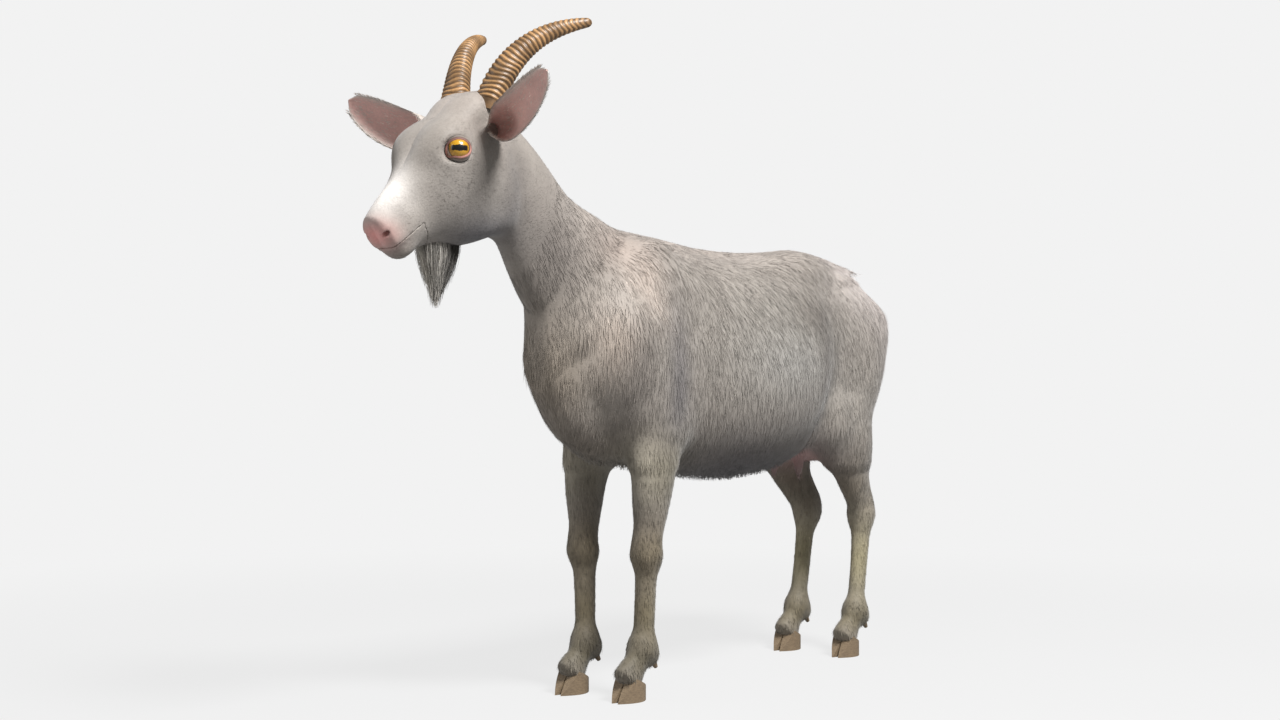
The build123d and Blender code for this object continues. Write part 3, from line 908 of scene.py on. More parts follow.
@dataclass(frozen=True)
class Fur:
    """Short hairs that lie on the skin, each a narrow ribbon.

    Attributes:
        density: Hairs per square metre.
        length_mm: Typical length.
        width_mm: Width at the root.
        lift_mm: Height of the tip above the skin.
        contrast: Spread of lightness from hair to hair.
        stray: Spread of direction from hair to hair.
        sunk_mm: Depth of the root under the skin.
        belly_mm: How far the longest hair under the belly hangs off the skin.
    """

    density: float = 60000.0
    length_mm: float = 22.0
    width_mm: float = 0.95
    lift_mm: float = 1.2
    contrast: float = 0.2
    stray: float = 0.13
    sunk_mm: float = 0.6
    belly_mm: float = 45.0

    def _scatter(
        self, skin: Skin, kept: Array, rng: np.random.Generator
    ) -> tuple[Array, Array]:
        """Spread roots evenly over some faces of a skin.

        Args:
            skin: The surface.
            kept: Which of its faces carry hair.
            rng: Source of the random draws.

        Returns:
            Each root's place, and the skin's normal there.
        """
        corners = skin.points[skin.quads[kept]]
        normals = skin.normals[skin.quads[kept]]
        diagonals = corners[:, 2] - corners[:, 0], corners[:, 3] - corners[:, 1]
        area = np.linalg.norm(np.cross(*diagonals), axis=1) / 2
        count = int(self.density * area.sum() * (1.0))
        face = rng.choice(len(area), count, p=area / area.sum())
        u, v = rng.random((2, count, 1))
        spread = [(1 - u) * (1 - v), u * (1 - v), u * v, (1 - u) * v]
        root = sum(corners[face, i] * spread[i] for i in range(4))
        return root, unit(sum(normals[face, i] * spread[i] for i in range(4)))

    def grow(
        self, skin: Skin, kept: Array, lay: Lay, name: str, finish: Material
    ) -> bpy.types.Object:
        """Grow hair on some faces of a skin.

        Args:
            skin: The surface.
            kept: Which of its faces carry hair.
            lay: Which way the hair lies.
            name: Object name.
            finish: Hair material.

        Returns:
            One object with all the ribbons.
        """
        rng = np.random.default_rng(sum(map(ord, name)))
        root, up = self._scatter(skin, kept, rng)
        count = len(root)
        way = hair_way(root, lay)
        way += rng.normal(0, self.stray, way.shape) * np.linalg.norm(way, axis=1, keepdims=True)
        way -= up * (way * up).sum(1, keepdims=True)
        way = unit(way)
        side = np.cross(up, way)
        length = self.length_mm / 1000 * rng.uniform(0.65, 1.25, (count, 1))
        if lay in (Lay.TRUNK, Lay.LEG):
            length *= np.interp(root[:, 2:], [0.25, 0.50], [0.5, 1.0])
        elif lay is Lay.NECK:
            length *= np.interp(root[:, 2:], [0.68, 0.82], [1.0, 0.35])
        width = self.width_mm / 2000 * rng.uniform(0.7, 1.3, (count, 1))
        lift = self.lift_mm / 1000 * rng.uniform(0.3, 1.2, (count, 1))
        if lay is Lay.TRUNK:
            facing_down = np.clip(-up[:, 2:] - 0.75, 0, 1)
            lift += self.belly_mm / 1000 * facing_down * rng.random((count, 1))
        base = root - up * (self.sunk_mm / 1000)
        middle = root + way * length * 0.5 + up * lift * 0.75
        tip = root + way * length + up * lift * 0.7
        corners = [
            base - side * width,
            base + side * width,
            middle + side * width * 0.8,
            middle - side * width * 0.8,
            tip,
        ]
        points = np.stack(corners, 1).reshape(-1, 3)
        first = 5 * np.arange(count)[:, None]
        faces = (first + [3, 2, 1, 0]).tolist() + (first + [4, 2, 3]).tolist()
        thing = new_mesh(name, points, faces, finish, np.repeat(up, 5, 0))
        shade = np.exp(rng.normal(0, self.contrast, (count, 1)))
        tones = np.clip(coat_tones_with_painted_light(root) * shade, 0, 0.95)
        add_tone(thing.data, np.repeat(tones, 5, 0))
        return thing


def strands(
    name: str,
    roots: Array,
    paths: Array,
    facing: Array,
    width_mm: float,
    tones: Array,
    finish: Material,
) -> bpy.types.Object:
    """Make long hairs as ribbons that follow given paths.

    Args:
        name: Object name.
        roots: Root of each hair in metres.
        paths: Offsets from the root at each step, hair by hair.
        facing: Direction that the flat of each hair faces.
        width_mm: Width at the root; the tip is a quarter of it.
        tones: Linear colour of each hair.
        finish: Hair material.

    Returns:
        The linked object.
    """
    count, steps = paths.shape[:2]
    line = roots[:, None] + paths
    side = unit(np.cross(unit(np.gradient(line, axis=1)), facing[:, None]))
    half = width_mm / 2000 * np.linspace(1, 0.25, steps)[None, :, None]
    points = np.stack([line - side * half, line + side * half], 2).reshape(-1, 3)
    cell = (2 * np.arange(steps - 1))[:, None] + [0, 1, 3, 2]
    faces = (cell[None] + 2 * steps * np.arange(count)[:, None, None]).reshape(-1, 4)
    thing = new_mesh(name, points, faces, finish)
    add_tone(thing.data, np.repeat(tones, 2 * steps, 0))
    return thing


# ------------------------------------------------------------------ trunk and neck
class Torso:
    """Barrel, rump, brisket, udder and neck, as one skin cut at the neck."""

    #: y, top, bottom, half-width in millimetres
    RINGS: tuple[Ring, ...] = (
        (-284.0, 552.0, 474.0, 26.0),
        (-252.0, 626.0, 424.0, 42.0),
        (-190.0, 692.0, 378.0, 58.0),
        (-100.0, 709.0, 360.0, 72.0),
        (0.0, 710.0, 345.0, 98.0),
        (90.0, 701.0, 335.0, 126.0),
        (200.0, 698.0, 333.0, 142.0),
        (300.0, 711.0, 352.0, 128.0),
        (365.0, 722.0, 392.0, 103.0),
        (440.0, 717.0, 436.0, 85.0),
        (520.0, 695.0, 478.0, 70.0),
        (582.0, 660.0, 516.0, 52.0),
        (614.0, 610.0, 552.0, 26.0),
    )
    NECK: tuple[Ring, ...] = (
        (0.0, 48.0, 88.0, -4.0),
        (0.3, 46.0, 86.0, -6.0),
        (0.6, 42.0, 74.0, -2.0),
        (0.85, 38.0, 63.0, 1.0),
        (1.0, 36.0, 54.0, 0.0),
    )
    NECK_START, NECK_END = 0.02, 0.12
    STEP = 0.004

    @classmethod
    def shapes(cls) -> list[tuple[Loft | Blob, float]]:
        """Left half of the trunk and neck, with fillets in millimetres.

        Returns:
            Each shape with its fillet.
        """
        first, last = cls.RINGS[0][0], cls.RINGS[-1][0]
        rings = tuple(
            ((y - first) / (last - first), width, (top - low) / 2, -(top + low) / 2)
            for y, top, low, width in cls.RINGS
        )
        return [
            (Loft(mm(0, first, 0), mm(0, last, 0), rings, 4.0, 0.1), 0),
            (Loft(NECK_BASE, POLL, cls.NECK, 20.0), 60),
            (Blob(mm(0, -75, 694), (18, 70, 18)), 30),
            (Blob(mm(54, 325, 688), (16, 46, 17), -4), 44),
            (Blob(mm(46, 588, 604), (15, 22, 20), -40), 30),
            (Blob(mm(0, 270, 695), (10, 330, 11)), 24),
            (Blob(mm(62, 395, 470), (10, 60, 48), 30), 40),
            (Blob(mm(18, 398, 398), (31, 74, 48)), 20),
            (Blob(mm(26, 368, 352), (8.5, 9, 28)), 10),
        ]

    def __init__(self, coat: Material) -> None:
        """Sample the shapes and cut the skin.

        Args:
            coat: Hair material.
        """
        space = Space(mm(0, -500, 310), mm(168, 640, 930), self.STEP)
        self.skin = Skin(union(space, self.shapes()), space, mirrored=True)
        along_neck = (self.skin.centres - NECK_BASE) @ NECK_WAY
        beyond = (self.skin.centres - HEAD_CUT) @ HEAD_CUT_WAY
        forward = self.skin.centres[:, 1] < 0.0
        neck = (along_neck > self.NECK_START) & forward & (beyond < 0.004)
        trunk = ~((along_neck > self.NECK_START) & forward)
        bare = np.linalg.norm((self.skin.centres - mm(0, 400, 380)) / mm(56, 88, 52), axis=1) < 1
        self.trunk = self.skin.piece("trunk_skin", trunk, coat)
        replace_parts(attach(self.trunk, "trunk"), "trunk", "udder")
        fur = Fur()
        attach(fur.grow(self.skin, trunk & ~bare, Lay.TRUNK, "trunk_hair", coat), "trunk")
        self.neck = self.skin.piece("neck_skin", neck, coat)
        hair = fur.grow(self.skin, neck, Lay.NECK, "neck_hair", coat)
        for thing in (self.neck, hair):
            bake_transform(thing)
        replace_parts(self.neck, "neck")


# ------------------------------------------------------------------ head
class Head:
    """Face, muzzle, lips and cheeks, with the chin as a piece of its own."""

    #: along the head, height over its axis, half-width, half-height in millimetres
    RINGS: tuple[Ring, ...] = (
        (-24.0, 42.0, 28.0, 24.0),
        (8.0, 26.0, 45.0, 50.0),
        (50.0, -9.0, 51.0, 87.0),
        (100.0, -11.0, 52.5, 89.0),
        (145.0, -12.0, 44.0, 73.0),
        (190.0, -1.0, 33.0, 50.0),
        (228.0, 5.0, 28.0, 37.0),
        (250.0, 7.0, 23.0, 29.0),
    )
    BEND_MM, STEP = 80.0, 0.002
    CHEEK_LINE = ((199.0, -8.0), (45.0, -75.0))
    CHEEK_BAND = 18.0
    #: metres: radius without hair round an eye, and distance along the head to the bare nose
    BARE_ROUND_EYE, BARE_NOSE = 0.019, 0.236

    @classmethod
    def field(cls, space: Space) -> Array:
        """Whole head and the top of the neck, with sockets and nostrils carved.

        Args:
            space: Grid to sample.

        Returns:
            The field.
        """
        first, last = cls.RINGS[0][0], cls.RINGS[-1][0]
        rings = tuple(
            ((along - first) / (last - first), width, height, up)
            for along, up, width, height in cls.RINGS
        )
        pitch = math.degrees(math.atan2(-HEAD.way()[1], -HEAD.way()[0]))
        eye = mm(*HEAD.eye)
        shapes = [
            (Loft(HEAD.point(first, 0), HEAD.point(last, 0), rings, 9.0), 0),
            (Loft(NECK_BASE, POLL, Torso.NECK, 20.0), 30),
            (Blob(HEAD.point(66, -46, 30), (20, 54, 48), pitch), 26),
            (Blob(eye - mm(13, 0, 0), (20, 27, 28), pitch), 20),
            (Blob(mm(27, -488, 764), (25, 44, 42), pitch), 30),
            (Blob(mm(16, -500, 800), (15, 40, 26), pitch), 24),
            (Blob(HEAD.point(84, 58, 28), (18, 34, 15), pitch), 20),
            (Blob(HEAD.point(18, 60, 18), (26, 30, 20), pitch), 18),
            (Blob(HEAD.point(170, 36, 0), (15, 70, 10), pitch), 18),
            (Blob(HEAD.point(246, 14, 14), (11, 15, 16), pitch), 10),
            (Blob(HEAD.point(238, -2, 10), (13, 18, 9), pitch), 8),
            (Blob(HEAD.point(232, -26, 0), (17, 18, 12), pitch), 12),
        ]
        head = union(space, shapes)
        for hollow, edge in (
            (Blob(eye + mm(3, -5, -1), (16, 22, 15.5), pitch - 20), 0.010),
            (Blob(HEAD.point(250, 17, 17), (5.5, 12, 4.2), pitch + 22), 0.004),
            (Blob(HEAD.point(268, 6, 0), (2.2, 8, 16), pitch), 0.005),
        ):
            head = carve(head, hollow.field(space), edge)
        return head

    @staticmethod
    def side_view(points_y: Array, points_z: Array) -> tuple[Array, Array]:
        """Distance along the head and height over its axis, in metres.

        Args:
            points_y: The places' y in metres.
            points_z: Their z in metres.

        Returns:
            The distances along the head, and the heights.
        """
        way = HEAD.way()
        y, z = points_y - HEAD.skull[0] / 1000, points_z - HEAD.skull[1] / 1000
        return y * way[0] + z * way[1], y * way[1] - z * way[0]

    @classmethod
    def parted(cls, whole: Array, space: Space) -> tuple[Array, Array]:
        """Part the lips, with the hollow of the mouth between them.

        The cut is fine behind the mouth's corner and opens and rounds along the lips.

        Args:
            whole: Field of the whole head.
            space: Its grid.

        Returns:
            Field of the upper face and field of the chin.
        """
        along, up = cls.side_view(space.y, space.z)
        lips, corner = mm(HEAD.mouth_line, HEAD.mouth_corner)
        lower = np.maximum(up - lips, corner - along)
        hollow = np.maximum(np.maximum(0.150 - along, along - 0.243), np.abs(up - lips) - 0.008)
        hollow = np.maximum(hollow, space.x - 0.0155)
        open_share = np.clip((along - corner) / 0.012, 0, 1)
        gap, edge = 0.00003 + 0.0002 * open_share, 0.0001 + 0.0012 * open_share
        upper, chin = (carve(whole, part - gap, edge) for part in (lower, -lower))
        return carve(upper, hollow, 0.002), carve(chin, hollow, 0.002)

    def __init__(self, coat: Material) -> None:
        """Sample the shapes and cut the skin.

        Args:
            coat: Hair material.
        """
        space = Space(mm(0, -632, 620), mm(86, -236, 925), self.STEP)
        whole = self.field(space)
        self.skin, self.chin = (
            Skin(values, space, mirrored=True) for values in self.parted(whole, space)
        )
        for skin in (self.skin, self.chin):
            skin.follow(whole, space, 0.0004)

        centres = self.skin.centres
        beyond = (centres - HEAD_CUT) @ HEAD_CUT_WAY
        head = beyond > -0.004
        face_along, face_up = self.side_view(centres[:, 1], centres[:, 2])
        (a0, u0), (a1, u1) = self.CHEEK_LINE
        run = np.array([a0 - a1, u0 - u1]) / math.hypot(a0 - a1, u0 - u1)
        below = (face_along - a0 / 1000) * run[1] - (face_up - u0 / 1000) * run[0]
        cheek = head & (below > 0) & (face_along < (HEAD.mouth_corner + 1) / 1000)
        cheek &= beyond > self.BEND_MM / 1000 + 0.002
        face = head & ~cheek
        from_eye = np.linalg.norm(on_left(centres) - mm(*HEAD.eye), axis=1)
        bare = (from_eye < self.BARE_ROUND_EYE) | (face_along > self.BARE_NOSE)
        short = Fur(80000, 7.0, 0.6, 0.5, 0.08)
        self.face = self.skin.piece("face_skin", face, coat)
        hair = short.grow(self.skin, face & ~bare, Lay.HEAD, "face_hair", coat)
        for thing in (self.face, hair):
            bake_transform(thing)
        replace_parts(self.face, "head", "nose_pad")
        cheek_skin = self.skin.piece("cheek_skin", cheek, coat)
        cheek_hair = short.grow(self.skin, cheek & ~bare, Lay.HEAD, "cheek_hair", coat)
        for thing in (cheek_skin, cheek_hair):
            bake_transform(thing)
        chin_skin = self.chin.piece("chin_skin", np.ones(len(self.chin.quads), bool), coat)
        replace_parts(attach(chin_skin, "jaw"), "jaw")
        upwards = np.array([0, HEAD.way()[1], -HEAD.way()[0]])
        outside = self.chin.normals[self.chin.quads].mean(1) @ upwards < 0.4
        chin_hair = short.grow(self.chin, outside, Lay.HEAD, "chin_hair", coat)
        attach(chin_hair, "jaw")


# ------------------------------------------------------------------ legs
@dataclass(frozen=True)
class Segment:
    """Stretch of a leg's skin at one joint.

    Attributes:
        name: Piece name without its side.
        bodies: Bodies above and below the joint, without their side; not used.
        top: Height of its upper border in millimetres.
        bend: Heights at which the bend starts and ends, in millimetres; not used.
        replaces: CAD nodes that it stands for, without their side.
    """

    name: str
    bodies: tuple[str, str]
    top: float
    bend: tuple[float, float]
    replaces: tuple[str, ...]


class Leg:
    """One pair of legs: a skin whose rim dives under the trunk, cut into segments."""

    #: fillet to the trunk, and radius of the curve by which the rim dives, in millimetres
    FILLET, DIVE_RADIUS, DIVE_DEPTH = 34.0, 60.0, 14.0
    STEP, BARE_DEPTH = 0.0032, 0.0008

    def __init__(
        self,
        shapes: list[tuple[Loft | Blob, float]],
        box: tuple[Array, Array],
        segments: tuple[Segment, ...],
        coat: Material,
    ) -> None:
        """Sample the left leg, then cut it and its mirror image.

        Args:
            shapes: The leg's shapes with their fillets in millimetres.
            box: Lowest and highest corner to sample.
            segments: Segments from the top down.
            coat: Hair material.
        """
        space = Space(*box, self.STEP)
        leg = union(space, shapes)
        trunk = union(space, Torso.shapes())
        fillet = self.FILLET / 1000
        dive = np.maximum(leg - 0.8 * fillet, 0) ** 2 / (2 * self.DIVE_RADIUS / 1000)
        left = Skin(join(leg, trunk + dive, fillet), space, mirrored=False)
        cell = np.round((left.centres - space.low) / space.step).astype(int)
        depth = dive[tuple(np.clip(cell, 0, np.array(leg.shape) - 1).T)]
        shown = depth < self.DIVE_DEPTH / 1000
        outside = depth < self.BARE_DEPTH
        for side, sign in SIDES:
            skin = left if sign > 0 else left.mirrored()
            for number, segment in enumerate(segments):
                low = segments[number + 1].top if number + 1 < len(segments) else -10.0
                height = skin.centres[:, 2] * 1000
                kept = shown & (height < segment.top) & (height >= low)
                self._dress(skin, kept, outside, segment, side, number == 0, coat)

    @staticmethod
    def _dress(
        skin: Skin,
        kept: Array,
        outside: Array,
        segment: Segment,
        side: str,
        upper: bool,
        coat: Material,
    ) -> None:
        """Make one segment's skin and hair.

        Args:
            skin: Skin of the whole leg.
            kept: Faces of this segment.
            outside: Faces that aren't under the trunk's skin.
            segment: The segment.
            side: "left" or "right".
            upper: Whether it is the shoulder or thigh.
            coat: Hair material.
        """
        piece = skin.piece(f"{side}_{segment.name}_skin", kept, coat)
        fur = Fur()
        lay = Lay.TRUNK if upper else Lay.LEG
        hair = fur.grow(skin, kept & outside, lay, f"{side}_{segment.name}_hair", coat)
        for thing in (piece, hair):
            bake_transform(thing)
        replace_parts(piece, *(f"{side}_{name}" for name in segment.replaces))


def slab(rings: tuple[tuple[float, ...], ...]) -> Loft:
    """Shoulder or thigh from level rings.

    Args:
        rings: Height, y, half-depth, half-width and distance from the middle, in millimetres.

    Returns:
        The loft.
    """
    top, bottom = rings[0], rings[-1]
    steps = tuple(
        ((top[0] - z) / (top[0] - bottom[0]), width, depth, -y)
        for z, y, depth, width, _ in rings
    )
    return Loft(mm(top[4], 0, top[0]), mm(bottom[4], 0, bottom[0]), steps, 10.0)


def foot(fetlock: Array) -> list[tuple[Loft | Blob, float]]:
    """Fetlock and pastern down to the top of the hoof.

    Args:
        fetlock: Place of the fetlock in metres.

    Returns:
        The shapes with their fillets in millimetres.
    """
    toe = fetlock + mm(0, -40, 36 - fetlock[2] * 1000)
    pastern = (
        (0.0, 16.5, 19.0, 0.0),
        (0.45, 16.5, 20.0, -3.0),
        (0.8, 19.5, 24.0, -4.0),
        (1.0, 20.5, 27.0, -6.0),
    )
    return [
        (Blob(fetlock + mm(0, 1, 2), (19.5, 21, 22)), 16),
        (Loft(fetlock, toe, pastern, 9.0), 14),
        (Blob(fetlock + mm(9, 15, -10), (8, 10, 13)), 10),
        (Blob(fetlock + mm(-9, 15, -10), (8, 10, 13)), 10),
    ]


def fore_leg(coat: Material) -> Leg:
    """Shoulder, forearm, knee, cannon and pastern of both front legs.

    Args:
        coat: Hair material.

    Returns:
        The pair of legs.
    """
    elbow, knee = joint("left_elbow_bend"), joint("left_knee_bend")
    fetlock = joint("left_fore_fetlock_bend")
    shoulder = (
        (698.0, -70.0, 26.0, 14.0, 50.0),
        (666.0, -74.0, 60.0, 25.0, 53.0),
        (616.0, -90.0, 90.0, 36.0, 56.0),
        (550.0, -110.0, 106.0, 45.0, 60.0),
        (490.0, -112.0, 98.0, 46.0, 63.0),
        (440.0, -98.0, 74.0, 38.0, 68.0),
        (402.0, -88.0, 54.0, 29.0, 69.0),
        (362.0, -92.0, 34.0, 18.0, 70.0),
    )
    forearm = (
        (0.0, 18.0, 28.0, 0.0),
        (0.22, 27.0, 40.0, 3.0),
        (0.5, 26.0, 36.0, 3.0),
        (0.78, 21.0, 27.0, 1.0),
        (1.0, 18.0, 20.0, 0.0),
    )
    cannon = (
        (0.0, 18.5, 20.0, 0.0),
        (0.2, 16.5, 18.0, -1.0),
        (0.55, 14.0, 16.5, 0.0),
        (0.85, 14.5, 17.0, 0.0),
        (1.0, 16.0, 18.0, 0.0),
    )
    shapes = [
        (slab(shoulder), 0),
        (Blob(mm(92, -158, 560), (16, 26, 34), 20), 40),
        (Loft(elbow, knee, forearm, 16.0), 24),
        (Blob(elbow + mm(0, 30, 22), (13, 15, 22), 20), 22),
        (Blob(knee + mm(0, -3, 4), (18.5, 20.5, 27)), 18),
        (Blob(knee + mm(0, 10, -6), (12, 12, 18)), 14),
        (Loft(knee, fetlock, cannon, 12.0), 14),
        (Blob(mm(61, -97, 150), (8, 8.5, 60)), 10),
        *foot(fetlock),
    ]
    segments = (
        Segment("shoulder", ("trunk", "shoulder"), 800, (700, 500), ("shoulder",)),
        Segment("elbow", ("shoulder", "forearm"), 470, (440, 365), ("forearm",)),
        Segment("knee", ("forearm", "fore_cannon"), 315, (250, 196), ("fore_cannon",)),
        Segment("fore_fetlock", ("fore_cannon", "fore_foot"), 150, (94, 60), ("fore_pastern",)),
    )
    return Leg(shapes, (mm(3, -292, 18), mm(150, 90, 760)), segments, coat)


def hind_leg(coat: Material) -> Leg:
    """Thigh, gaskin, hock, cannon and pastern of both back legs.

    Args:
        coat: Hair material.

    Returns:
        The pair of legs.
    """
    stifle, hock = joint("left_stifle_bend"), joint("left_hock_bend")
    fetlock = joint("left_hind_fetlock_bend")
    thigh = (
        (664.0, 470.0, 30.0, 14.0, 52.0),
        (632.0, 484.0, 64.0, 28.0, 55.0),
        (590.0, 498.0, 82.0, 38.0, 58.0),
        (530.0, 492.0, 84.0, 40.0, 62.0),
        (470.0, 474.0, 78.0, 37.0, 68.0),
        (430.0, 456.0, 72.0, 33.0, 72.0),
        (390.0, 450.0, 58.0, 28.0, 73.0),
        (350.0, 462.0, 36.0, 18.0, 71.0),
    )
    gaskin = (
        (0.0, 18.0, 32.0, -6.0),
        (0.22, 27.0, 46.0, -6.0),
        (0.55, 22.0, 35.0, 0.0),
        (0.82, 17.0, 24.0, 2.0),
        (1.0, 16.5, 20.0, 2.0),
    )
    cannon = (
        (0.0, 17.5, 21.0, 0.0),
        (0.2, 15.5, 18.0, -1.0),
        (0.5, 13.0, 15.5, 0.0),
        (0.85, 14.0, 16.5, 0.0),
        (1.0, 16.0, 18.0, 0.0),
    )
    tendon = ((0.0, 11.0, 16.0, 0.0), (1.0, 8.0, 9.0, 0.0))
    shapes = [
        (slab(thigh), 0),
        (Loft(stifle, hock, gaskin, 20.0), 36),
        (Blob(mm(82, 392, 424), (20, 24, 28)), 30),
        (Blob(hock + mm(-3, 0, 2), (18, 23, 26)), 16),
        (Blob(hock + mm(-3, 15, 18), (10, 11, 20), 20), 14),
        (Loft(mm(68, 500, 372), mm(58, 530, 270), tendon, 20.0), 26),
        (Loft(hock, fetlock, cannon, 12.0), 14),
        (Blob((hock + fetlock) / 2 + mm(0, 11, 0), (8, 9, 62), -9), 10),
        *foot(fetlock),
    ]
    segments = (
        Segment("thigh", ("trunk", "thigh"), 800, (690, 540), ("thigh",)),
        Segment("stifle", ("thigh", "gaskin"), 490, (455, 372), ("gaskin",)),
        Segment("hock", ("gaskin", "hind_cannon"), 330, (280, 222), ("hind_cannon",)),
        Segment("hind_fetlock", ("hind_cannon", "hind_foot"), 170, (94, 60), ("hind_pastern",)),
    )
    return Leg(shapes, (mm(3, 320, 18), mm(150, 622, 760)), segments, coat)


# ------------------------------------------------------------------ horns
@dataclass(frozen=True)
class Horns:
    """Two ringed horns that sweep back, with light and dark rings in turn."""

    bends: tuple[Point, ...] = (
        (34.5, -424.0, 888.0),
        (51.0, -402.0, 964.0),
        (76.0, -352.0, 1000.0),
        (109.0, -288.0, 1012.0),
    )
    rings: int = 27
    base_radius: float = 22.5
    tip_radius: float = 6.0
    ridge: float = 0.045
    light: str = "#bd9263"
    dark: str = "#57422d"
    steps: int = 260
    around: int = 44

    def build(self, finish: Material) -> None:
        """Model both horns.

        Args:
            finish: Horn material, which reads the tones.
        """
        rng = np.random.default_rng(5)
        ends = [mm(*bend) for bend in self.bends]
        t = np.linspace(-0.06, 1, self.steps)[:, None]
        line = (
            (1 - t) ** 3 * ends[0]
            + 3 * (1 - t) ** 2 * t * ends[1]
            + 3 * (1 - t) * t**2 * ends[2]
            + t**3 * ends[3]
        )
        way = unit(np.gradient(line, axis=0))
        side = unit(np.cross(way, [0.0, 0.35, 1.0]))
        front = np.cross(side, way)
        angle = np.linspace(0, 2 * np.pi, self.around, endpoint=False)
        phase = np.clip(t, 0, 1) ** 0.92 * self.rings
        wobble = 0.22 * np.sin(angle * 2 + 1.0) + 0.16 * np.sin(angle * 3 + t * 9)
        wave = np.sin(2 * np.pi * (phase + wobble))
        shrink = self.tip_radius + (self.base_radius - self.tip_radius) * np.clip(1 - t, 0, 1) ** 0.8
        blunt = np.sqrt(np.clip(1 - ((t - 0.965) / 0.035).clip(0) ** 2, 0.0004, 1))
        fade = np.clip((1 - t) * 6, 0.15, 1)
        radius = shrink * blunt * (1 + self.ridge * wave * fade) / 1000
        ring = (
            side[:, None] * (radius * 0.88 * np.cos(angle))[..., None]
            + front[:, None] * (radius * np.sin(angle))[..., None]
        )
        points = (line[:, None] + ring).reshape(-1, 3)
        share = np.clip(0.56 + 0.55 * wave + rng.normal(0, 0.05, wave.shape), 0, 1)
        share = share * np.clip(0.75 + 0.3 * np.sin(phase * 0.9), 0.4, 1)
        tones = mixed(tone(self.dark), tone(self.light), share[..., None]).reshape(-1, 3)
        faces = ring_faces(self.steps, self.around).tolist()
        faces.append(list(range(len(points) - self.around, len(points))))
        for name, sign in SIDES:
            placed = points * [sign, 1, 1]
            wound = faces if sign > 0 else [face[::-1] for face in faces]
            horn = new_mesh(f"{name}_horn_shell", placed, wound, finish)
            add_tone(horn.data, tones)
            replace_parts(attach(horn, "head"), f"{name}_horn")


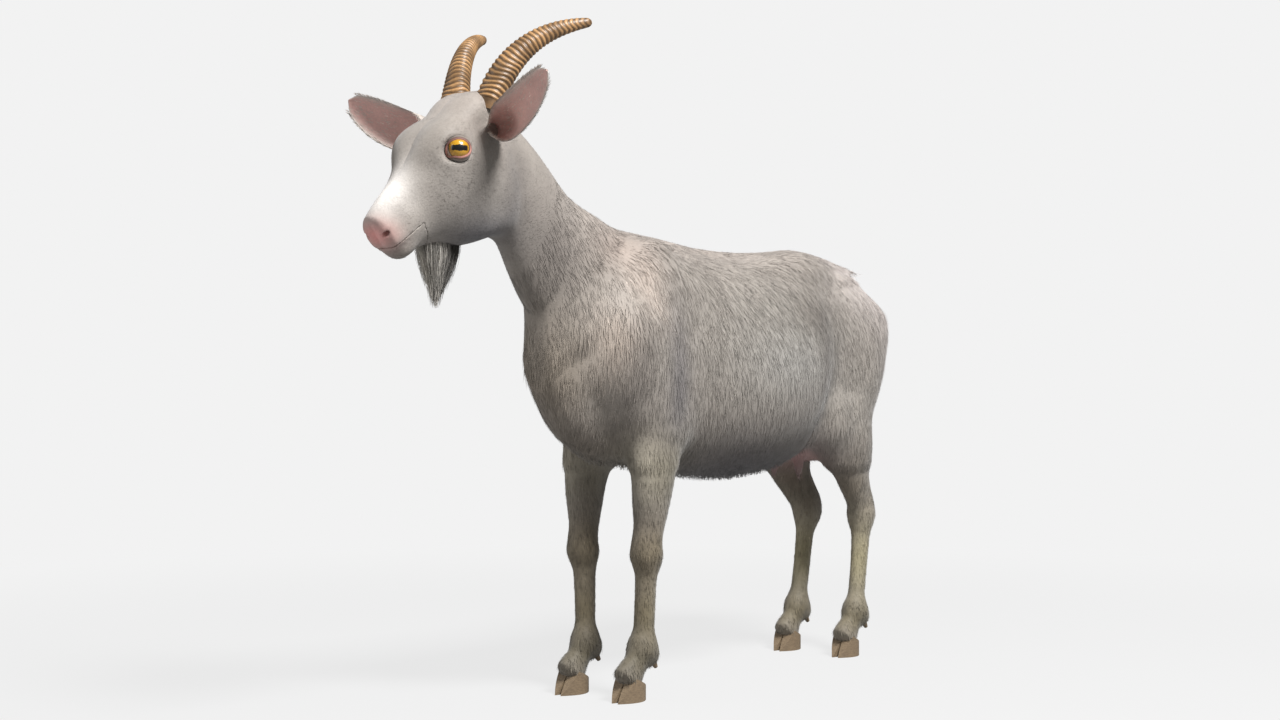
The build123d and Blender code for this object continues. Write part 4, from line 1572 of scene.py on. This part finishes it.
# ------------------------------------------------------------------ ears
@dataclass(frozen=True)
class Ears:
    """Leaf-shaped ears, rolled into a tube at the root and open to the front."""

    root: Point = (50.0, -431.0, 845.0)
    bend: Point = (126.0, -452.0, 850.0)
    tip: Point = (198.0, -482.0, 905.0)
    leaf_way: Point = (0.45, 0.05, -0.89)
    half_width: float = 31.0
    wall: float = 2.6
    outer: str = "#918a83"
    rim: str = "#d8cdc4"
    inner: str = "#dcb0a7"
    steps: int = 60
    across: int = 30

    def build(self, coat: Material) -> None:
        """Model both ears with the hairs on their rims.

        Args:
            coat: Hair material.
        """
        s = np.linspace(-0.05, 1, self.steps)
        t = s[:, None]
        root, bend, tip = mm(*self.root), mm(*self.bend), mm(*self.tip)
        middle = (1 - t) ** 2 * root + 2 * t * (1 - t) * bend + t**2 * tip
        way = unit(np.gradient(middle, axis=0))
        wide = unit(np.array(self.leaf_way) - way * (way @ np.array(self.leaf_way))[:, None])
        face = np.cross(way, wide)
        face *= -np.sign(face[:, 1:2])
        width = smooth_values(
            [0.0, 0.1, 0.25, 0.42, 0.6, 0.75, 0.87, 0.95, 1.0],
            [0.4, 0.6, 0.9, 1.0, 0.97, 0.85, 0.66, 0.44, 0.08],
            np.clip(s, 0, 1),
        ) * self.half_width / 1000
        roll = np.radians(np.interp(s, [0, 0.12, 0.3, 0.6, 1], [165, 135, 82, 58, 30]))
        radius = np.where(roll < np.pi / 2, width / np.sin(np.minimum(roll, np.pi / 2)), width)
        u = np.linspace(-1, 1, self.across)
        turn = u[None] * roll[:, None]
        lift = radius * (1 + np.cos(roll)) / 2
        arc = (
            middle[:, None]
            + face[:, None] * (lift[:, None] - radius[:, None] * np.cos(turn))[..., None]
            + wide[:, None] * (radius[:, None] * np.sin(turn))[..., None]
        )
        inwards = (
            face[:, None] * np.cos(turn)[..., None] - wide[:, None] * np.sin(turn)[..., None]
        )
        thick = self.wall / 1000 * (1 - 0.75 * np.abs(u) ** 4)[None, :, None]
        shells = np.stack([arc, arc + inwards * thick])
        points = shells.reshape(-1, 3)
        count = self.steps * self.across
        grid = np.arange(count).reshape(self.steps, self.across)
        corners = [grid[:-1, :-1], grid[:-1, 1:], grid[1:, 1:], grid[1:, :-1]]
        cell = np.stack(corners, -1).reshape(-1, 4)
        rims = [
            np.stack([edge[:-1], edge[1:], edge[1:] + count, edge[:-1] + count], -1)
            for edge in (grid[::-1, 0], grid[:, -1], grid[-1, ::-1], grid[0])
        ]
        faces = np.concatenate([cell, (cell + count)[:, ::-1], *rims])
        edge_share = (np.abs(u) ** 5)[None, :, None] * np.ones((self.steps, 1, 1))
        tones = np.stack(
            [mixed(tone(side), tone(self.rim), edge_share) for side in (self.outer, self.inner)]
        ).reshape(-1, 3)
        hairs = self._hairs(shells, inwards, way, np.random.default_rng(11))
        for name, sign in SIDES:
            flip = np.array([sign, 1, 1])
            wound = faces if sign < 0 else faces[:, ::-1]
            ear = new_mesh(f"{name}_ear_leaf", points * flip, wound, coat)
            add_tone(ear.data, tones)
            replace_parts(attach(ear, f"{name}_ear"), f"{name}_ear")
            roots, paths, facing, colours = hairs
            fringe = strands(
                f"{name}_ear_hair", roots * flip, paths * flip, facing * flip, 0.8, colours, coat
            )
            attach(fringe, f"{name}_ear")

    def _hairs(
        self,
        shells: Array,
        inwards: Array,
        way: Array,
        rng: np.random.Generator,
    ) -> tuple[Array, Array, Array, Array]:
        """Hairs over the back, along the rims and inside the root of the left ear.

        Args:
            shells: Outer and inner vertices, as a grid along and across the leaf.
            inwards: Way from the outer to the inner side at each vertex.
            way: Way along the ear at each step.
            rng: Source of the random draws.

        Returns:
            Roots, paths, facings and colours, as `strands` takes them.
        """
        count = 2600
        i = rng.integers(3, self.steps - 3, count)
        edge = rng.random(count) < 0.4
        rims, anywhere = rng.choice([0, self.across - 1], count), rng.integers(0, self.across, count)
        j = np.where(edge, rims, anywhere)
        inside = (rng.random(count) < 0.3) & ~edge
        roots = shells[inside.astype(int), i, j]
        away = np.where(inside[:, None], inwards[i, j], -inwards[i, j])
        flow = way[i] + away * rng.uniform(0.0, 0.2, (count, 1)) + rng.normal(0, 0.1, (count, 3))
        length = rng.uniform(4, 9, (count, 1, 1)) / 1000
        paths = flow[:, None] * length * np.linspace(0, 1, 4)[None, :, None]
        base = np.where((edge | inside)[:, None], tone(self.rim), tone(self.outer))
        return roots, paths, away, base * np.exp(rng.normal(0, 0.18, (count, 1)))


# ------------------------------------------------------------------ eyes
@dataclass(frozen=True)
class Eyes:
    """Amber eyes with a level bar pupil, and the lids round them.

    Lengths are in millimetres and angles in degrees from the way the eye looks.
    """

    radius: float = 17.5
    sunk: float = 1.5
    iris: float = 57.0
    pupil: tuple[float, float] = (11.0, 3.9)
    opening: tuple[float, float, float] = (63.0, 40.0, 38.0)
    tear_corner: tuple[float, float] = (-33.0, 27.0)
    gold: str = "#dba51c"
    amber: str = "#a8700c"
    dark_edge: str = "#2b1a08"
    white: str = "#b59c8c"
    black: str = "#050506"
    lid_rings: tuple[tuple[float, float, str], ...] = (
        (0.0, 0.1, "#8a544a"),
        (2.5, 0.9, "#c98f84"),
        (7.0, 1.6, "#b98579"),
        (11.0, 2.0, "#6d5a50"),
        (18.0, 2.3, "#8d8078"),
        (32.0, 2.0, "#979088"),
        (46.0, -1.5, "#8f8a85"),
    )
    upper_shade: tuple[float, ...] = (1.0, 1.0, 1.0, 0.6, 0.2, 0.0, 0.0)
    ball_grid: tuple[int, int] = (90, 180)
    lid_steps: int = 140

    def build(self, coat: Material, wet: Material) -> None:
        """Model the eyes and lids.

        Args:
            coat: Hair material of the lids.
            wet: Material of the eyeball.
        """
        turn = math.radians(HEAD.gaze_forward)
        gaze = np.array([math.cos(turn), -math.sin(turn), 0.0])
        level = np.array([-math.sin(turn), -math.cos(turn), 0.0])
        axes = (mm(*HEAD.eye) - gaze * self.sunk / 1000, gaze, level)
        for name, sign in SIDES:
            flip = np.array([sign, 1, 1])
            ball = self._ball(name, axes, flip, wet)
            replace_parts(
                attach(ball, f"{name}_eye"), f"{name}_eyeball", f"{name}_iris", f"{name}_cornea"
            )
            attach(self._lids(name, axes, flip, coat), "head")

    @staticmethod
    def _cap(
        axes: tuple[Array, ...], angles: Array, spin: Array, radii: Array
    ) -> Array:
        """Points round the gaze at given angles from it, spins about it and radii.

        Args:
            axes: Middle of the ball, gaze, and level way square to it.
            angles: Angle from the gaze in radians.
            spin: Angle about the gaze in radians.
            radii: Distance from the middle in metres.

        Returns:
            The places.
        """
        centre, gaze, level = axes
        up = np.array([0.0, 0.0, 1.0])
        around = level * np.cos(spin)[..., None] + up * np.sin(spin)[..., None]
        return centre + radii[..., None] * (
            gaze * np.cos(angles)[..., None] + around * np.sin(angles)[..., None]
        )

    @staticmethod
    def _shell(
        name: str,
        points: Array,
        tones: Array,
        flip: Array,
        finish: Material,
        closed: bool,
    ) -> bpy.types.Object:
        """Mesh from rings of points, closed at the first ring where asked.

        Args:
            name: Object name.
            points: Vertices, ring by ring.
            tones: Their colours.
            flip: Sign of each axis on this side.
            finish: Its material.
            closed: Whether the first ring is filled.

        Returns:
            The linked object.
        """
        rings, around = points.shape[:2]
        faces = ring_faces(rings, around)[:, [0, 3, 2, 1]].tolist()
        if closed:
            faces.append(list(range(around)))
        if flip[0] > 0:
            faces = [face[::-1] for face in faces]
        thing = new_mesh(name, points.reshape(-1, 3) * flip, faces, finish)
        add_tone(thing.data, tones.reshape(-1, 3))
        return thing

    def _ball(
        self, name: str, axes: tuple[Array, ...], flip: Array, wet: Material
    ) -> bpy.types.Object:
        """Front of the eyeball with its colours: white, dark edge, amber and the bar.

        Args:
            name: "left" or "right".
            axes: Middle, gaze and level way.
            flip: Sign of each axis on this side.
            wet: Material of the eyeball.

        Returns:
            The linked object.
        """
        rings, around = self.ball_grid
        spin = np.linspace(0, 2 * np.pi, around, endpoint=False)[None].repeat(rings, 0)
        degrees = np.linspace(0.3, 112, rings)[:, None] * np.ones((1, around))
        bulge = 0.9 * np.exp(-((degrees / 44) ** 4))
        points = self._cap(axes, np.radians(degrees), spin, (self.radius + bulge) / 1000)
        across = self.radius * np.sin(np.radians(degrees)) * np.cos(spin)
        tall = self.radius * np.sin(np.radians(degrees)) * np.sin(spin)
        waist = self.pupil[1] * (1 + 0.12 * np.cos(across * 0.55) + 0.05 * np.sin(across * 1.7))
        bar = ((across / self.pupil[0]) ** 4 + (tall / waist) ** 4) ** 0.25
        pupil = np.clip((1.1 - bar) / 0.14, 0, 1)[..., None]
        edge = np.clip((degrees - self.iris + 9) / 9, 0, 1)[..., None]
        white = np.clip((degrees - self.iris - 1) / 2, 0, 1)[..., None]
        streak = (0.5 + 0.5 * np.sin(spin * 31 + 3 * np.sin(spin * 5)))[..., None]
        rim = np.clip((degrees - 20) / 40, 0, 1)[..., None]
        tones = tone(self.gold)
        for colour, share in (
            (self.amber, np.clip(0.35 * streak + 0.5 * rim, 0, 1)),
            (self.dark_edge, edge),
            (self.white, white),
            (self.black, pupil),
        ):
            tones = mixed(tones, tone(colour), share)
        return self._shell(f"{name}_eye_ball", points, tones, flip, wet, True)

    def _lids(
        self, name: str, axes: tuple[Array, ...], flip: Array, coat: Material
    ) -> bpy.types.Object:
        """Rim round the opening, from its wet edge to where it sinks into the skin.

        Args:
            name: "left" or "right".
            axes: Middle, gaze and level way.
            flip: Sign of each axis on this side.
            coat: Hair material.

        Returns:
            The linked object.
        """
        around = self.lid_steps
        spin = np.linspace(0, 2 * np.pi, around, endpoint=False)
        wide, upper, lower = self.opening
        tall = np.where(np.sin(spin) > 0, upper, lower)
        # an almond: at a power of two it would be an ellipse, below two its corners are sharper
        power = 1.9
        level, upright = np.abs(np.cos(spin)) / wide, np.abs(np.sin(spin)) / tall
        almond = (level**power + upright**power) ** (-1 / power)
        where, size = self.tear_corner
        away = (np.degrees(spin) - where + 180) % 360 - 180
        opening = almond + size * np.exp(-((away / 17) ** 2))
        angles = np.radians(np.array([opening + step for step, _, _ in self.lid_rings]))
        heights = np.array([[height] for _, height, _ in self.lid_rings])
        radii = (self.radius + heights + np.zeros((1, around))) / 1000
        points = self._cap(axes, angles, spin[None].repeat(len(radii), 0), radii)
        tones = np.array([tone(colour) for _, _, colour in self.lid_rings])
        upper_share = np.clip(np.sin(spin) * 3, 0, 1)[None, :, None] * 0.55
        shaded = np.array(self.upper_shade)[:, None, None]
        tones = tones[:, None] * (1 - upper_share * shaded)
        return self._shell(f"{name}_lids", points, tones, flip, coat, False)


# ------------------------------------------------------------------ beard and tail
class Beard:
    """Long hairs under the chin round a solid core, light in front and dark behind."""

    ROOT, TIP = mm(0, -492, 700), mm(0, -498, 592)
    HALF_LENGTH, HALF_WIDTH = 0.036, 0.012
    LIGHT, DARK = "#b3aea6", "#57534f"
    CORE: tuple[Ring, ...] = (
        (0.0, 1.5, 2.0, 0.0),
        (0.5, 3.5, 8.0, 0.0),
        (0.85, 7.0, 20.0, 0.0),
        (1.0, 9.0, 29.0, 0.0),
    )

    def __init__(self, coat: Material) -> None:
        """Model the beard.

        Args:
            coat: Hair material.
        """
        rng = np.random.default_rng(21)
        count, steps = (2600), 9
        angle = rng.uniform(0, 2 * np.pi, count)
        reach = np.sqrt(rng.uniform(0, 1, count))
        spread = np.stack(
            [
                self.HALF_WIDTH * reach * np.cos(angle),
                self.HALF_LENGTH * reach * np.sin(angle),
                rng.uniform(0.0, 0.014, count),
            ],
            1,
        )
        roots = self.ROOT + spread
        roots[:, 2] += 0.25 * np.abs(spread[:, 1]) - 0.18 * spread[:, 1]
        shrink = rng.uniform(0.08, 0.5, (count, 1))
        ends = self.TIP + spread * [1, 1, 0] * shrink + rng.normal(0, 0.0022, (count, 3))
        short = 0.45 * reach**2 + 0.4 * rng.uniform(0, 1, count) ** 1.8
        ends += (roots - ends) * short[:, None] * 0.8
        t = np.linspace(0, 1, steps)[None, :, None]
        paths = (ends - roots)[:, None] * t
        bow = np.stack([spread[:, 0] * 0.5, spread[:, 1] * 0.35, np.zeros(count)], 1)
        paths = paths + bow[:, None] * np.sin(np.pi * t * 0.9)
        wave = rng.uniform(0, 6.28, (count, 1, 3)) + t * rng.uniform(4, 9, (count, 1, 1))
        paths = paths + 0.0016 * t * np.sin(wave)
        facing = spread * [1, 1, 0] / 0.02 + rng.normal(0, 0.25, (count, 3))
        front = np.clip(0.5 - spread[:, 1] / (2 * self.HALF_LENGTH), 0, 1)[:, None]
        tones = mixed(tone(self.DARK), tone(self.LIGHT), front)
        tones = tones * np.exp(rng.normal(0.12, 0.4, (count, 1)))
        hair = strands("beard_hair", roots, paths, facing, 1.3, tones, coat)
        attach(hair, "jaw")
        core = self._core(coat)
        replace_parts(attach(core, "jaw"), "beard")

    def _core(self, coat: Material) -> bpy.types.Object:
        """Dark inner mass that keeps the beard from being seen through.

        Args:
            coat: Hair material.

        Returns:
            The linked object.
        """
        run = self.ROOT - self.TIP
        space = Space(mm(0, -540, 590), mm(24, -450, 730), 0.002)
        loft = Loft(self.TIP + run * 0.4, self.ROOT + mm(0, 0, 8), self.CORE, 4.0)
        return Skin(loft.field(space), space, mirrored=True).piece("beard_core", slice(None), coat)


class Tail:
    """Short tail that hangs behind the rump, with its long hairs."""

    RINGS: tuple[Ring, ...] = (
        (0.0, 9.0, 7.0, 0.0),
        (0.3, 12.0, 9.0, 0.0),
        (0.6, 13.0, 9.0, 0.0),
        (1.0, 7.0, 6.0, 0.0),
    )

    def __init__(self, coat: Material) -> None:
        """Model the tail.

        Args:
            coat: Hair material.
        """
        root = joint("tail_lift")
        end = root + np.array([0, 0.27, -0.96]) * 0.1
        space = Space(mm(0, 545, 550), mm(26, 622, 700), 0.0025)
        loft = Loft(root - np.array([0, 0, 0.008]), end, self.RINGS, 5.0)
        skin = Skin(loft.field(space), space, mirrored=True)
        tail = skin.piece("tail_skin", slice(None), coat)
        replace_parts(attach(tail, "tail"), "tail")
        below_root = skin.centres[:, 2] < root[2] - 0.02
        fur = Fur(60000, 22.0, 1.1, 0.8)
        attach(fur.grow(skin, below_root, Lay.LEG, "tail_hair", coat), "tail")


# ------------------------------------------------------------------ stage
class Studio:
    """Pale floor and backdrop, soft light from the camera's right, and the camera."""

    #: place in metres, and degrees that the camera is turned and raised
    CAMERA, AZIMUTH, PITCH = (1.799, -2.252, 0.479), 39.16, -0.9
    LENS_MM, SENSOR_MM = 50.146875, 36.0
    #: brightness of the paper itself by the animal and far behind it
    NEAR_GLOW, BACK_GLOW = 0.775, 0.888
    #: share of light that the paper by the animal sends to the camera, and to the animal
    NEAR_PAPER, BOUNCE = 0.075, 0.3
    #: metres from the animal at which the floor starts and ends to fade into the backdrop
    FADE = (0.9, 2.6)
    HALF_FLOOR, WORLD_LIGHT = 9.0, 0.22
    AIM = (0.0, 0.0, 0.5)
    #: name, place and size in metres, power in watts
    LAMPS = (
        ("key", (2.7, -0.5, 4.0), 1.2, 320.0),
        ("fill", (-2.4, -3.4, 1.8), 3.0, 40.0),
    )

    def __init__(self) -> None:
        """Build the stage."""
        self.floor()
        self.lights()
        self.camera()
        bpy.context.scene.view_settings.view_transform = "Standard"

    def floor(self) -> None:
        """Paper floor that looks the same as the paper behind, apart from the shadow."""
        values = {"Emission Color": (1, 1, 1, 1), "Roughness": 1.0, "Specular IOR Level": 0.0}
        material, tree, shader = blank_material("matt paper", values)
        seen = node(tree, "ShaderNodeLightPath").outputs["Is Camera Ray"]
        place = node(tree, "ShaderNodeNewGeometry").outputs["Position"]
        away = node(tree, "ShaderNodeVectorMath", {"operation": "LENGTH"}, {0: place})
        fade = ranged(tree, away.outputs["Value"], (0.0, 1.0), self.FADE, "SMOOTHSTEP")
        paper = ranged(tree, fade, (self.NEAR_PAPER, 0.0))
        lit = ranged(tree, fade, (self.NEAR_GLOW, self.BACK_GLOW))
        tree.links.new(ranged(tree, seen, (self.BOUNCE, paper)), shader.inputs["Base Color"])
        tree.links.new(ranged(tree, seen, (0.0, lit)), shader.inputs["Emission Strength"])
        half = self.HALF_FLOOR
        corners = np.array([(-half, -half, 0), (half, -half, 0), (half, half, 0), (-half, half, 0)])
        new_mesh("paper_floor", corners, [[0, 1, 2, 3]], material)

    def lights(self) -> None:
        """Large soft key, a weak fill and even light from the surroundings."""
        world = bpy.data.worlds.new("studio")
        bpy.context.scene.world = world
        world.use_nodes = True
        tree = world.node_tree
        seen = node(tree, "ShaderNodeLightPath").outputs["Is Camera Ray"]
        background = tree.nodes["Background"]
        background.inputs["Color"].default_value = (1, 1, 1, 1)
        strength = ranged(tree, seen, (self.WORLD_LIGHT, self.BACK_GLOW))
        tree.links.new(strength, background.inputs["Strength"])
        for name, place, size, power in self.LAMPS:
            lamp = bpy.data.lights.new(name, "AREA")
            lamp.shape, lamp.size, lamp.energy = "SQUARE", size, power
            lit = bpy.data.objects.new(name, lamp)
            lit.location = place
            aim = Vector(self.AIM) - Vector(place)
            lit.rotation_euler = aim.to_track_quat("-Z", "Y").to_euler()
            bpy.context.scene.collection.objects.link(lit)

    def camera(self) -> None:
        """Camera at about the animal's chest height, ahead of its left side."""
        data = bpy.data.cameras.new("camera")
        data.sensor_width = self.SENSOR_MM
        data.lens = self.LENS_MM
        camera = bpy.data.objects.new("camera", data)
        camera.location = self.CAMERA
        turn, pitch = math.radians(self.AZIMUTH), math.radians(self.PITCH)
        towards = Vector(
            (-math.sin(turn) * math.cos(pitch), math.cos(turn) * math.cos(pitch), -math.sin(pitch))
        )
        camera.rotation_euler = towards.to_track_quat("-Z", "Y").to_euler()
        bpy.context.scene.collection.objects.link(camera)
        bpy.context.scene.camera = camera


def main() -> None:
    """Dress the whole animal and light it."""
    logging.basicConfig(level=logging.INFO, format="%(message)s")
    coat = Coat().make()
    log.info("torso")
    Torso(coat)
    log.info("head")
    Head(coat)
    log.info("legs")
    fore_leg(coat)
    hind_leg(coat)
    log.info("horns, ears, eyes")
    # horn keratin: ringed tan and brown with a dull shine
    Horns().build(Toned("horn keratin", 0.42).make())
    Ears().build(coat)
    # wet eye: amber under a clear layer that catches the lamps
    Eyes().build(coat, Toned("wet eye", 0.3, 1.0, 0.9).make())
    log.info("beard and tail")
    Beard(coat)
    Tail(coat)
    # hoof horn: dry, scuffed brown with level growth lines
    hoof = Plain("hoof horn", "#a08b70", "#5f5040", 0.55, 5.0, 0.35, 0.0, (1.0, 1.0, 3.0)).make()
    # tooth enamel: yellowed and glossy
    tooth = Plain("tooth enamel", "#e6dcc4", "#b9a67f", 0.3, 3.0, 0.05).make()
    # tongue: moist pink flesh that lets some light in
    tongue = Plain("tongue", "#b8726c", "#8c4c48", 0.4, 2.0, 0.2, 0.2).make()
    for side, _ in SIDES:
        for part in ("fore_hoof", "hind_hoof", "fore_dewclaws", "hind_dewclaws"):
            frame["nodes"][f"{side}_{part}"].data.materials[0] = hoof
    frame["nodes"]["lower_incisors"].data.materials[0] = tooth
    frame["nodes"]["tongue"].data.materials[0] = tongue
    log.info("stage")
    Studio()


if __name__ == "__main__":
    main()
